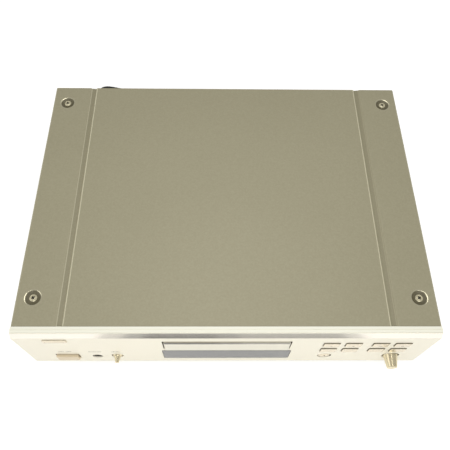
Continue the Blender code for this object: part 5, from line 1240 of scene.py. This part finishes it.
def makeRear(plan):
    panel = copyOfNode("rear_panel", "rearPlate")
    near, far = plan["face"] - 0.004, plan["face"] + 0.004
    for left in plan["groups"]:
        combine(panel, slotRow("slots", plan, left, plan["slotLow"], plan["slotHigh"], near, far))
    roundEdges(panel, 0.00018, 2, 40.0)
    setOn(panel, "blackSheet", "rear_panel")
    left, right, low, high = plan["plate"]
    plate = roundedBlock("socketPlate", (left, plan["face"], low), (right, plan["face"] + 0.0009, high),
        0.0015)
    for rows in (socketPlan["analog"], socketPlan["digital"]):
        for x, _ in rows.values():
            drilled(plate, (x, near, socketPlan["z"]), (0, 1, 0), 0.0047, 0, 0.008, 40)
    roundEdges(plate, 0.0003, 2, 40.0)
    setOn(plate, "blackPlastic")
    left, right, low, high = plan["blank"]
    blank = roundedBlock("blankPlate", (left, plan["face"], low), (right, plan["face"] + 0.0005, high),
        0.001)
    roundEdges(blank, 0.00015, 2, 40.0)
    setOn(blank, "zincSheet")
    for number, (x, z) in enumerate(plan["screws"], 1):
        head = smallScrew(f"rearScrew_{number}", (x, plan["face"], z), (0, 1, 0), plan["screw"], 0.0011)
        setOn(head, "screwSteel")


def makeSockets(plan):
    z, bore = read(plan, "z bore")
    for row, places in (("analog", plan["analog"]), ("digital", plan["digital"])):
        low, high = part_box(f"{row}_sockets")
        block = cubePiece(f"{row}SocketBlock", low, (high.x, rearPlan["face"] - 0.0013, high.z))
        for x, _ in places.values():
            drilled(block, (x, low.y + 0.004, z), (0, 1, 0), 0.0042, 0, 0.02, 40)
        roundEdges(block, 0.0004, 2, 40.0)
        setOn(block, "blackPlastic", f"{row}_sockets")
        for key, (x, core) in places.items():
            tip, outer, inner = plan["tip"], plan["outer"], plan["inner"]
            shell = turnedPiece(f"{row}Shell_{key}", (x, 0, z), (0, 1, 0),
                ((inner, low.y + 0.0041), (outer, low.y + 0.0041), (outer, plan["tip"] - 0.0062),
                (outer - 0.00025, tip - 0.006), (outer - 0.00025, tip - 0.0012), (outer, tip - 0.001),
                (outer, tip - 0.0002), (outer - 0.0002, tip), (inner + 0.0001, tip), (inner, tip - 0.0001),
                (inner, low.y + 0.0042)), 48)
            setOn(shell, "goldPlate")
            centre = turnedPiece(f"{row}Core_{key}", (x, 0, z), (0, 1, 0),
                ((bore, tip - 0.0082), (bore, tip - 0.0007), (bore + 0.0002, tip - 0.0005),
                (inner - 0.0003, tip - 0.0005), (inner - 0.0001, tip - 0.0008),
                (inner - 0.0001, low.y + 0.0045)), 48)
            setOn(centre, core)


makeRear(rearPlan)
makeSockets(socketPlan)


# Base: the folded floor with three rows of vents

basePlan = {"slots": 15, "slotStep": 0.0075, "slotWide": 0.003, "rows": ((-0.155, -0.03, 0.03),
    (0.035, -0.03, 0.03), (-0.055, 0.08, 0.12))}


def makeBase(plan):
    slotStep, slotWide = read(plan, "slotStep slotWide")
    base = copyOfNode("chassis_base", "baseTray")
    for left, near, far in plan["rows"]:
        slots = [roundedBlock("slot", (left + k * slotStep, near, 0.012),
            (left + k * slotStep + slotWide, far, 0.018), slotWide * 0.49, "z", 4)
            for k in range(plan["slots"])]
        combine(base, joined("slots", slots))
    roundEdges(base, 0.0002, 2, 40.0)
    setOn(base, "zincSheet", "chassis_base")


makeBase(basePlan)
print("stage: feet, rear and base")


# Inside: helpers for blocks with softened edges, refined copies and flat rings

def softBlock(name, low, high, edge=0.0004, segments=2):
    return roundEdges(cubePiece(name, low, high), edge, segments, 40.0)


def refined(node, name, body, finishName, edge=0.0003):
    piece = roundEdges(copyOfNode(node, name), edge, 2, 40.0)
    return setOn(piece, finishName, node, body=body, smooth=40.0)


def ringCutter(centre, inner, outer, low, high):
    ring = upright("ring", centre, ((outer, low), (outer, high)), 64)
    return drilled(ring, (*centre, 0), (0, 0, 1), inner, low - 0.001, high + 0.001, 48)


def around(centre, radius, count, start=0.0):
    return [(centre[0] + radius * math.cos(start + 2 * math.pi * k / count),
        centre[1] + radius * math.sin(start + 2 * math.pi * k / count)) for k in range(count)]


def boards(name, blocks, edge=0.0002):
    # several small blocks made one piece: each is (centre x, y, low z, size x, y, z)
    return joined(name, [softBlock(name, *about(x, y, w / 2, d / 2, z, z + h), edge)
        for x, y, z, w, d, h in blocks])


# Disc tray with its two seats, finger notches and a fine rim

trayPlan = {"centre": discSpot, "seat": 0.0604, "floor": 0.0761, "deck": 0.0777, "small": 0.0405,
    "smallFloor": 0.0747, "notch": 0.009, "edge": 0.00035}


def makeDiscTray(plan):
    small, smallFloor, floor, seat, deck = read(plan, "small smallFloor floor seat deck")
    x, y = plan["centre"]
    tray = copyOfNode("disc_tray", "discTray")
    seatCutter = upright("seat", (x, y), ((small - 0.0004, smallFloor), (small, smallFloor + 0.0003),
        (small, floor - 0.0002), (small + 0.0003, floor), (seat - 0.0003, floor), (seat, floor + 0.0003),
        (seat + 0.0002, deck - 0.0004), (seat + 0.0007, deck + 0.0001), (seat + 0.0007, deck + 0.001)), 160)
    combine(tray, seatCutter)
    for sign in (-1, 1):
        for angle in (38.0, 142.0):
            spot = (x + sign * 0.0545 * math.cos(math.radians(angle)),
                y + 0.0545 * math.sin(math.radians(angle)) * sign)
            notch = upright("notch", spot, ((plan["notch"], floor - 0.0006),
                (plan["notch"] + 0.0008, deck + 0.0002)), 48)
            combine(tray, notch)
    roundEdges(tray, plan["edge"], 2, 40.0)
    setOn(tray, "blackPlastic", "disc_tray", body="tray", smooth=35.0)


makeDiscTray(trayPlan)
refined("loader_frame", "loaderFrame", "player", "blackPlastic")
refined("front_frame", "frontFrame", "player", "zincSheet", 0.0002)


# Clamp: bridge with pressed ribs, puck with its iron disc

clampPlan = {"centre": discSpot, "bridge": (0.0676, 0.0835, 0.0849), "beads": (-0.0955, -0.071),
    "bead": 0.0009}


def makeClamp(plan):
    half, low, high = plan["bridge"]
    x, y = plan["centre"]
    bridge = copyOfNode("clamp_bridge", "clampBridge")
    drilled(bridge, (x, y, 0), (0, 0, 1), 0.0118, low - 0.001, high + 0.001, 96)
    for bead in plan["beads"]:
        for sign in (-1, 1):
            reach = sorted((sign * 0.021, sign * 0.058))
            rib = softBlock("rib", (reach[0], bead - 0.0014, high - 0.0004),
                (reach[1], bead + 0.0014, high + plan["bead"]), 0.0008, 3)
            combine(bridge, rib, "UNION")
    roundEdges(bridge, 0.0002, 2, 40.0)
    setOn(bridge, "zincSheet", "clamp_bridge")
    for number, (sx, sy) in enumerate(((-half + 0.0042, y), (half - 0.0042, y)), 1):
        setOn(smallScrew(f"clampScrew_{number}", (sx, sy, high), (0, 0, 1), 0.0026, 0.0012), "screwSteel")
    puck = upright("clampPuck", (x, y), mm(8.4, 79, 8.4, 78.2, 8.6, 78, 15, 78, 15.5, 78.4, 15.5, 79, 15.2,
        79.3, 15.5, 79.6, 15.5, 82.8, 15.1, 83.2, 11.5, 83.2, 11.5, 85.2, 13.6, 85.2, 13.8, 85.4, 13.8,
        86.2, 13.6, 86.4, 9.2, 86.4, 9, 86.1, 8.6, 86.1, 8.4, 86.2), 96)
    for sx, sy in around(plan["centre"], 0.0112, 6):
        drilled(puck, (sx, sy, 0), (0, 0, 1), 0.0011, 0.086, 0.087, 20)
    setOn(puck, "blackPlastic", "clamp_puck", body="puck", smooth=35.0)
    plate = upright("puckPlate", (x, y), mm(8, 86, 8, 86.35, 7.8, 86.4, 1.6, 86.4, 1.2, 86.1), 64)
    setOn(plate, "brightSteel", body="puck")


makeClamp(clampPlan)


# Spindle, its motor and the sled's motor

def makeMotor(name, node, centre, radius, low, high, shaft, tip, body):
    x, y = centre
    can = upright(name, (x, y), ((radius * 0.3, low + 0.0005), (radius * 0.34, low), (radius - 0.0009, low),
        (radius - 0.0002, low + 0.0003), (radius, low + 0.001), (radius, high - 0.0016),
        (radius - 0.0005, high - 0.0014), (radius - 0.0005, high - 0.0009), (radius, high - 0.0007),
        (radius, high - 0.0003), (radius - 0.0003, high), (shaft * 2.6, high), (shaft * 2.6, high + 0.0001),
        (shaft, high + 0.0001), (shaft, tip - 0.0002), (shaft - 0.0002, tip)), 64)
    for sx, sy in around(centre, radius * 0.62, 4, 0.6):
        drilled(can, (sx, sy, 0), (0, 0, 1), radius * 0.13, low - 0.001, low + 0.0006, 20)
    setOn(can, "brightSteel", node, body=body, smooth=35.0)
    tabs = boards(f"{name}Tabs", [(x + sign * radius * 0.35, y + radius * 0.35, low - 0.0016, 0.0018,
        0.0005, 0.0022) for sign in (-1, 1)], 0.0001)
    setOn(tabs, "brassRing", body=body)


def makeSpindle():
    x, y = discSpot
    platter = upright("spindlePlatter", (x, y), mm(1.3, 74.8, 1.3, 67.3, 3.5, 67.3, 3.7, 67.5, 3.7, 74.1,
        4.2, 74.5, 14.1, 74.5, 14.5, 74.9, 14.5, 76.6, 14.2, 76.95, 13.8, 76.9, 9.6, 76.9, 9.3, 77.1, 7.6,
        77.1, 7.4, 77.4, 7, 78.1, 6.2, 78.6, 5.6, 78.7, 3, 78.7, 2.8, 78.5), 96)
    setOn(platter, "blackPlastic", "spindle_platter", body="spindle", smooth=35.0)
    band = upright("platterRubber", (x, y), mm(9.8, 76.8, 13.7, 76.8, 13.7, 77.05, 13.5, 77.1, 10, 77.1,
        9.8, 77.05), 96)
    drilled(band, (x, y, 0), (0, 0, 1), 0.0098, 0.076, 0.078, 96)
    setOn(band, "blackRubber", body="spindle")


makeSpindle()
makeMotor("spindleMotor", "spindle_motor", discSpot, 0.013, 0.0572, 0.0637, 0.001, 0.0745, "traverse")
makeMotor("sledMotor", "sled_motor", (0.02958, -0.03792), 0.0065, 0.0552, 0.0637, 0.001, 0.07, "traverse")
makeMotor("loadingMotor", "loading_motor", motorSpot, 0.0115, 0.0392, 0.0577, 0.001, 0.0653, "player")


# Gears and pulleys

def makeGears():
    wheel = copyOfNode("tray_gear", "trayGear")
    combine(wheel, ringCutter(trayGearSpot, 0.0042, 0.016, 0.065, 0.0662))
    for sx, sy in around(trayGearSpot, 0.0136, 6):
        drilled(wheel, (sx, sy, 0), (0, 0, 1), 0.002, 0.065, 0.0695, 24)
    roundEdges(wheel, 0.00012, 1, 50.0)
    setOn(wheel, "whitePlastic", "tray_gear", body="tray_gear", smooth=35.0)
    pinion = copyOfNode("sled_pinion", "sledPinion")
    roundEdges(pinion, 0.0001, 1, 50.0)
    setOn(pinion, "whitePlastic", "sled_pinion", body="sled_pinion", smooth=35.0)
    pulley = copyOfNode("pulley_gear", "pulleyGear")
    combine(pulley, ringCutter(pulleySpot, 0.008, 0.0118, 0.0643, 0.066))
    roundEdges(pulley, 0.0001, 1, 50.0)
    setOn(pulley, "whitePlastic", "pulley_gear", body="pulley_gear", smooth=35.0)
    small = upright("motorPulley", motorSpot, mm(1.65, 62.3, 3.4, 62.3, 3.6, 62.4, 3.6, 62.9, 2.7, 63, 2.7,
        64.6, 3.6, 64.7, 3.6, 65.2, 3.4, 65.3, 1.65, 65.3), 48)
    drilled(small, (*motorSpot, 0), (0, 0, 1), 0.0013, 0.062, 0.066, 32)
    setOn(small, "whitePlastic", "motor_pulley", body="motor_pulley", smooth=35.0)


makeGears()


# Traverse, rods, sled and lens

def makeTraverse():
    traverse = copyOfNode("traverse_frame", "traverseFrame")
    for sign in (-1, 1):
        for near, far in ((-0.066, -0.03), (-0.024, 0.006)):
            left, right = sorted((sign * 0.0235, sign * 0.0345))
            if sign > 0 and far < -0.02:
                continue
            slot = roundedBlock("slot", (left, near, 0.0658), (right, far, 0.068), 0.0012, "z", 4)
            combine(traverse, slot)
    roundEdges(traverse, 0.0003, 2, 40.0)
    setOn(traverse, "blackPlastic", "traverse_frame", body="traverse")
    for side, sign in (("left", -1), ("right", 1)):
        bar = turnedPiece(f"sledRod_{side}", (sign * 0.0185, 0, 0.06965), (0, 1, 0),
            mm(1.2, -64.75, 1.5, -64.45, 1.5, 9.95, 1.2, 10.25), 40)
        setOn(bar, "brightSteel", f"sled_rod_{side}", body="traverse")


def makeSled():
    sled = copyOfNode("laser_sled", "laserSled")
    roundEdges(sled, 0.0003, 2, 40.0)
    setOn(sled, "blackPlastic", "laser_sled", body="sled")
    y = lensDepth
    plate = softBlock("sledPlate", (-0.0092, y + 0.0062, 0.0741), (0.0092, y + 0.015, 0.07435), 0.0001)
    for sx in (-0.006, 0.006):
        drilled(plate, (sx, y + 0.0108, 0), (0, 0, 1), 0.0014, 0.073, 0.076, 24)
    setOn(plate, "brightSteel", body="sled")
    holder = upright("lensHolder", (0, y), mm(3.6, 74.5, 4.6, 74.5, 4.8, 74.7, 4.8, 75.1, 4.6, 75.3, 3.7,
        75.3, 3.6, 75.2), 64)
    drilled(holder, (0, y, 0), (0, 0, 1), 0.0034, 0.074, 0.0758, 64)
    setOn(holder, "blackPlastic", body="lens")
    dome = upright("lensDome", (0, y), mm(3, 74.6, 3.4, 74.8, 3.4, 75.2, 3.2, 75.55, 2.7, 75.8, 2, 75.92,
        1.1, 75.98, 0.4, 76), 64)
    setOn(dome, "lensGlass", "lens", body="lens", smooth=60.0)


makeTraverse()
makeSled()
print("stage: loader, clamp and traverse")


# Electronics: boards, parts on them, transformer, switch and controls

boardPlan = {"x": (0.081, 0.205), "y": (-0.07975, 0.15625), "z": (0.0232, 0.0248),
    "cans": ((0.1058, -0.05143), (0.13308, -0.05143), (0.1058, -0.02311), (0.13308, -0.02311)),
    "chips": ((0.174, -0.03255), (0.1368, 0.03825), (0.1802, 0.03825)), "can": 0.008, "canTop": 0.0548,
    "smallCans": ((0.098, 0.03, 0.0032, 0.009), (0.098, 0.042, 0.0032, 0.009), (0.16, 0.075, 0.004, 0.011),
    (0.172, 0.075, 0.004, 0.011), (0.184, 0.075, 0.004, 0.011), (0.11, 0.085, 0.005, 0.012),
    (0.124, 0.085, 0.005, 0.012), (0.148, 0.105, 0.0032, 0.008), (0.192, -0.006, 0.0032, 0.008))}


def makeCan(x, y, radius, low, high):
    sleeve = upright("canSleeve", (x, y), ((radius - 0.0004, low), (radius, low + 0.0004),
        (radius, low + 0.0013), (radius - 0.0005, low + 0.0019), (radius, low + 0.0025),
        (radius, high - 0.0005), (radius - 0.0004, high), (radius * 0.8, high + 0.0001),
        (radius * 0.78, high - 0.0002)), 40)
    lid = upright("canLid", (x, y), ((radius * 0.77, high - 0.0006), (radius * 0.77, high - 0.0001),
        (radius * 0.74, high)), 40)
    for size in ((radius * 1.1, 0.0003), (0.0003, radius * 1.1)):
        combine(lid, cubePiece("score", (x - size[0] / 2, y - size[1] / 2, high - 0.00025),
            (x + size[0] / 2, y + size[1] / 2, high + 0.001)))
    return sleeve, lid


def makeMainBoard(plan):
    (left, right), (near, far), (low, high) = plan["x"], plan["y"], plan["z"]
    board = roundedBlock("mainBoard", (left, near, low), (right, far, high), 0.0015, "z", 3)
    for x in (left + 0.004, right - 0.004):
        for y in (near + 0.03, far - 0.03):
            drilled(board, (x, y, 0), (0, 0, 1), 0.0016, low - 0.001, high + 0.001, 24)
    for x in (left + 0.012, right - 0.012):
        for y in (near + 0.012, far - 0.012):
            spacer = upright("spacer", (x, y), ((0.003, 0.0155), (0.003, low + 0.0004)), 24)
            combine(board, spacer, "UNION")
    setOn(board, "boardGreen", "main_board")
    blocks = []
    for x, y in plan["chips"]:
        blocks.append((x, y, high + 0.0004, 0.0142, 0.0142, 0.0026))
    blocks += [(x, 0.056, high + 0.0004, 0.007, 0.018, 0.0032) for x in (0.1, 0.118, 0.1368)]
    setOn(boards("boardChips", blocks, 0.0003), "blackPlastic")
    pins = []
    for x, y in plan["chips"]:
        for k in range(9):
            step = -0.0056 + k * 0.0014
            pins += [(x + step, y - 0.0076, high, 0.0005, 0.0014, 0.0008),
                (x + step, y + 0.0076, high, 0.0005, 0.0014, 0.0008),
                (x - 0.0076, y + step, high, 0.0014, 0.0005, 0.0008),
                (x + 0.0076, y + step, high, 0.0014, 0.0005, 0.0008)]
    for x in (0.1, 0.118, 0.1368):
        for k in range(7):
            for sign in (-1, 1):
                pins.append((x + sign * 0.004, 0.0484 + k * 0.00254, high, 0.0012, 0.0005, 0.0016))
    setOn(boards("chipPins", pins, 0.0001), "brightSteel")
    cans = [makeCan(x, y, plan["can"], high, plan["canTop"]) for x, y in plan["cans"]]
    cans += [makeCan(x, y, radius, high, high + tall) for x, y, radius, tall in plan["smallCans"]]
    sleeves, lids = zip(*cans)
    setOn(joined("canSleeves", sleeves), "blackPlastic")
    setOn(joined("canLids", lids), "brightSteel")
    plugs = boards("boardPlugs", [(0.09, -0.072, high, 0.012, 0.0058, 0.007),
        (0.11, -0.072, high, 0.017, 0.0058, 0.007), (0.16, -0.072, high, 0.022, 0.0058, 0.007),
        (0.0865, 0.01, high, 0.0058, 0.015, 0.007), (0.0865, 0.11, high, 0.0058, 0.02, 0.007)], 0.0005)
    setOn(plugs, "whitePlastic")
    beads = []
    for k in range(16):
        x, y = 0.15 + (k % 4) * 0.011, 0.096 + (k // 4) * 0.009
        beads.append(turnedPiece("bead", (x - 0.0034, y, high + 0.0014), (1, 0, 0),
            mm(0.25, -1.2, 0.25, 0, 0.9, 0.2, 1.1, 1, 0.9, 1.8, 0.9, 4.8, 1.1, 5.6, 0.9, 6.4, 0.25, 6.6,
            0.25, 7.8), 12))
    setOn(joined("boardResistors", beads), "boardTan")


makeMainBoard(boardPlan)


frontBoardBack = -0.13695


def makeFrontBoard():
    board = copyOfNode("front_board", "frontBoard")
    roundEdges(board, 0.0002, 1, 40.0)
    setOn(board, "boardTan", "front_board")
    y = frontBoardBack
    chips = [softBlock("chip", (x - w / 2, y, z), (x + w / 2, y + 0.0032, z + h), 0.0003)
        for x, z, w, h in ((0.02, 0.03, 0.04, 0.012), (-0.03, 0.034, 0.016, 0.008),
        (0.15, 0.062, 0.02, 0.007), (0.118, 0.03, 0.012, 0.007))]
    setOn(joined("frontChips", chips), "blackPlastic")
    plugs = [softBlock("plug", (x - w / 2, y, z), (x + w / 2, y + 0.0075, z + 0.006), 0.0005)
        for x, z, w in ((-0.06, 0.026, 0.02), (0.078, 0.026, 0.024), (-0.105, 0.06, 0.014))]
    setOn(joined("frontPlugs", plugs), "whitePlastic")


def makeDisplay():
    low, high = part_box("display_module")
    glass = softBlock("displayGlass", (low.x, low.y, low.z), (high.x, low.y + 0.0038, high.z), 0.0005)
    setOn(glass, "smokedWindow", "display_module")
    back = softBlock("displayBack", (low.x + 0.002, low.y + 0.0039, low.z + 0.002),
        (high.x - 0.002, high.y, high.z - 0.002), 0.0004)
    setOn(back, "blackPlastic")


# The core's half size, its sheets, the bolts through it, the coil's turns and flanges, and the lugs
transformerPlan = {"spot": (-0.128, 0.02525), "low": 0.0155, "high": 0.0715, "wide": 0.033, "deep": 0.011,
    "sheets": 13, "sheetStep": 0.0017, "gap": 0.00015, "gapDeep": 0.00025, "bolt": 0.0019,
    "boltOut": 0.0275, "rows": 9, "turnWide": 0.0196, "turnDeep": 0.0265, "turnHigh": 0.0019,
    "flangeWide": 0.0205, "flangeDeep": 0.028, "flangeHigh": 0.0012, "flangeIn": 0.0112, "lugs": 6,
    "lugStep": 0.006}


def makeTransformer(plan):
    x, y = plan["spot"]
    low, high, wide, deep, gap, gapDeep, rows = read(plan, "low high wide deep gap gapDeep rows")
    core = cubePiece("transformerCore", *about(x, y, wide, deep, low, high))
    sheets = []
    for k in range(plan["sheets"]):
        spot = y - 0.0102 + k * plan["sheetStep"]
        for side in (x - wide, x + wide):
            sheets.append(cubePiece("gap", *about(side, spot, gapDeep, gap, low - 0.001, high + 0.001)))
        sheets.append(cubePiece("gap", *about(x, spot, 0.0325, gap, high - gapDeep, high + 0.001)))
    combine(core, joined("gaps", sheets))
    for sign in (-1, 1):
        bolt = (x + sign * plan["boltOut"], y - 0.012, high - 0.0055)
        drilled(core, bolt, (0, 1, 0), plan["bolt"], 0, 0.024, 24)
    setOn(core, "brightSteel", "power_transformer")
    coil = []
    for k in range(rows):
        z = low + 0.0135 + k * (high - low - 0.027) / (rows - 1)
        turn = roundedBlock("turn", *about(x, y, plan["turnWide"], plan["turnDeep"], z - plan["turnHigh"],
            z + plan["turnHigh"]), 0.006, "z", 5)
        coil.append(roundEdges(turn, 0.0009, 3, 60.0))
    setOn(joined("transformerCoil", coil), "copperWire")
    thick, inwards = plan["flangeHigh"], plan["flangeIn"]
    for key, z in (("low", low + inwards - thick), ("high", high - inwards)):
        flange = roundedBlock(f"coilFlange_{key}", *about(x, y, plan["flangeWide"], plan["flangeDeep"], z,
            z + thick), 0.002, "z", 3)
        combine(flange, cubePiece("core", *about(x, y, 0.034, 0.0111, z - 0.001, z + 0.003)))
        setOn(flange, "whitePlastic")
    lugs = boards("coilLugs", [(x + (k - (plan["lugs"] - 1) / 2) * plan["lugStep"], y - 0.0272, high - 0.01,
        0.0016, 0.0006, 0.005) for k in range(plan["lugs"])], 0.0001)
    setOn(lugs, "brassRing")


def makeSwitchAndControls():
    low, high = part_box("power_switch")
    body = softBlock("powerSwitch", low, high, 0.0006, 3)
    combine(body, roundedBlock("well", (low.x + 0.005, low.y - 0.001, high.z - 0.0115),
        (high.x - 0.005, low.y + 0.003, high.z - 0.0035), 0.0008))
    setOn(body, "blackPlastic", "power_switch")
    lugs = boards("switchLugs", [(low.x + 0.004 + k * 0.005, high.y + 0.002, z, 0.0022, 0.0045, 0.0007)
        for k in range(3) for z in (low.z + 0.008, low.z + 0.016)], 0.0001)
    setOn(lugs, "brassRing")
    for node, name, x, z, wide, shaft in (("select_encoder", "selectEncoder", 0.1837, 0.037, 0.01245,
            0.003), ("level_pot", "levelPot", -0.1207, 0.0378, 0.01045, 0.0014)):
        low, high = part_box(node)
        front = high.y - 0.007
        can = softBlock(name, (x - wide / 2, front, z - wide / 2), (x + wide / 2, high.y, z + wide / 2),
            0.0007, 3)
        neck = turnedPiece("neck", (x, 0, z), (0, 1, 0), ((shaft - 0.0003, low.y), (shaft, low.y + 0.0003),
            (shaft, front + 0.001)), 40)
        combine(can, neck, "UNION")
        setOn(can, "zincSheet", node, smooth=35.0)


makeFrontBoard()
makeDisplay()
makeTransformer(transformerPlan)
makeSwitchAndControls()
print("stage: boards, transformer, switch and controls")


# Floor, backdrop and light

stagePlan = {
    "floorSize": 8.0,
    "tone": (250, 249, 246),
    "glow": 0.42,
    "mirrored": 0.55,
    "skyLight": 0.42,
    "lamps": (
        # name, place, aims at, width, height, watts
        ("softTop", (0.02, -0.03, 0.85), (0.0, -0.03, 0.1), 0.8, 0.5, 2.4),
        ("softFront", (0.25, -1.5, 1.15), (0.0, -0.1, 0.05), 1.3, 0.9, 10.8),
        ("softLeft", (-1.4, -0.3, 0.9), (0.0, 0.0, 0.08), 0.9, 0.9, 3.0),
        ("softBack", (0.05, 0.85, 1.4), (0.0, 0.0, 0.1), 0.7, 0.5, 0.6),
    ),
    "cards": (
        # grey cards before the camera's view, seen in polished edges only: centre, size, turn, tone
        ("startCard", (-0.15, -0.4725, 0.02), (0.035, 0.205), 0.0, (150, 150, 149)),
        ("frontCard", (-0.07, -0.4725, 0.02), (0.125, 0.205), 0.0, (98, 98, 98)),
        ("middleCard", (0.01, -0.4725, 0.02), (0.035, 0.205), 0.0, (124, 124, 124)),
        ("rightCard", (0.1175, -0.4725, 0.02), (0.18, 0.205), 0.0, (151, 150, 148)),
        ("fadeCard", (0.0148, -0.4725, 0.018), (0.4465, 0.205), 0.0, (205, 204, 200)),
        ("cameraCard", (-0.012, -0.24, 0.66), (0.34, 0.2), 0.3, (96, 90, 78)),
    ),
}


def stageMaterial(name, tone):
    made = bpy.data.materials.new(name)
    made.use_nodes = True
    shader = made.node_tree.nodes["Principled BSDF"]
    shader.inputs["Base Color"].default_value = screen(*tone)
    shader.inputs["Roughness"].default_value = 0.7
    shader.inputs["Emission Color"].default_value = (1, 1, 1, 1)
    return made, made.node_tree, shader


def makeStage(plan):
    bpy.ops.mesh.primitive_plane_add(size=plan["floorSize"], location=(0, 0, 0))
    floor = bpy.context.object
    floor.name = "floor"
    made, tree, shader = stageMaterial("floorWhite", plan["tone"])
    path = tree.nodes.new("ShaderNodeLightPath")
    mirrored = mathNode(tree, "MULTIPLY", path.outputs["Is Glossy Ray"], plan["mirrored"])
    seen = mathNode(tree, "ADD", path.outputs["Is Camera Ray"], mirrored)
    seen = mathNode(tree, "ADD", seen, path.outputs["Is Transmission Ray"])
    glow = mathNode(tree, "MULTIPLY", mathNode(tree, "MINIMUM", seen, 1.0), plan["glow"])
    join(tree, glow, shader.inputs["Emission Strength"])
    floor.data.materials.append(made)
    for name, centre, size, turn, tone in plan["cards"]:
        bpy.ops.mesh.primitive_plane_add(size=1.0, location=centre, rotation=(turn, 0, 0))
        card = bpy.context.object
        card.name = name
        card.scale = (*size, 1)
        card.visible_camera = card.visible_diffuse = card.visible_shadow = card.visible_transmission = False
        made, tree, shader = stageMaterial(name, (20, 20, 20))
        shader.inputs["Emission Color"].default_value = screen(*tone)
        shader.inputs["Emission Strength"].default_value = 1.0
        card.data.materials.append(made)
    world = bpy.data.worlds.new("studio")
    bpy.context.scene.world = world
    world.use_nodes = True
    tree = world.node_tree
    back = tree.nodes["Background"]
    path = tree.nodes.new("ShaderNodeLightPath")
    seen = mathNode(tree, "ADD", path.outputs["Is Camera Ray"], path.outputs["Is Transmission Ray"])
    span = tree.nodes.new("ShaderNodeMapRange")
    span.inputs["To Min"].default_value = plan["skyLight"]
    span.inputs["To Max"].default_value = 1.0
    join(tree, seen, span.inputs["Value"])
    join(tree, span.outputs["Result"], back.inputs["Strength"])
    back.inputs["Color"].default_value = (1, 1, 1, 1)
    for name, spot, aim, width, height, watts in plan["lamps"]:
        light = bpy.data.lights.new(name, "AREA")
        light.shape = "RECTANGLE"
        light.size = width
        light.size_y = height
        light.energy = watts
        lamp = bpy.data.objects.new(name, light)
        bpy.context.scene.collection.objects.link(lamp)
        lamp.location = spot
        lamp.rotation_mode = "QUATERNION"
        lamp.rotation_quaternion = (Vector(aim) - Vector(spot)).to_track_quat("-Z", "Y")


makeStage(stagePlan)
print("stage: floor and light")
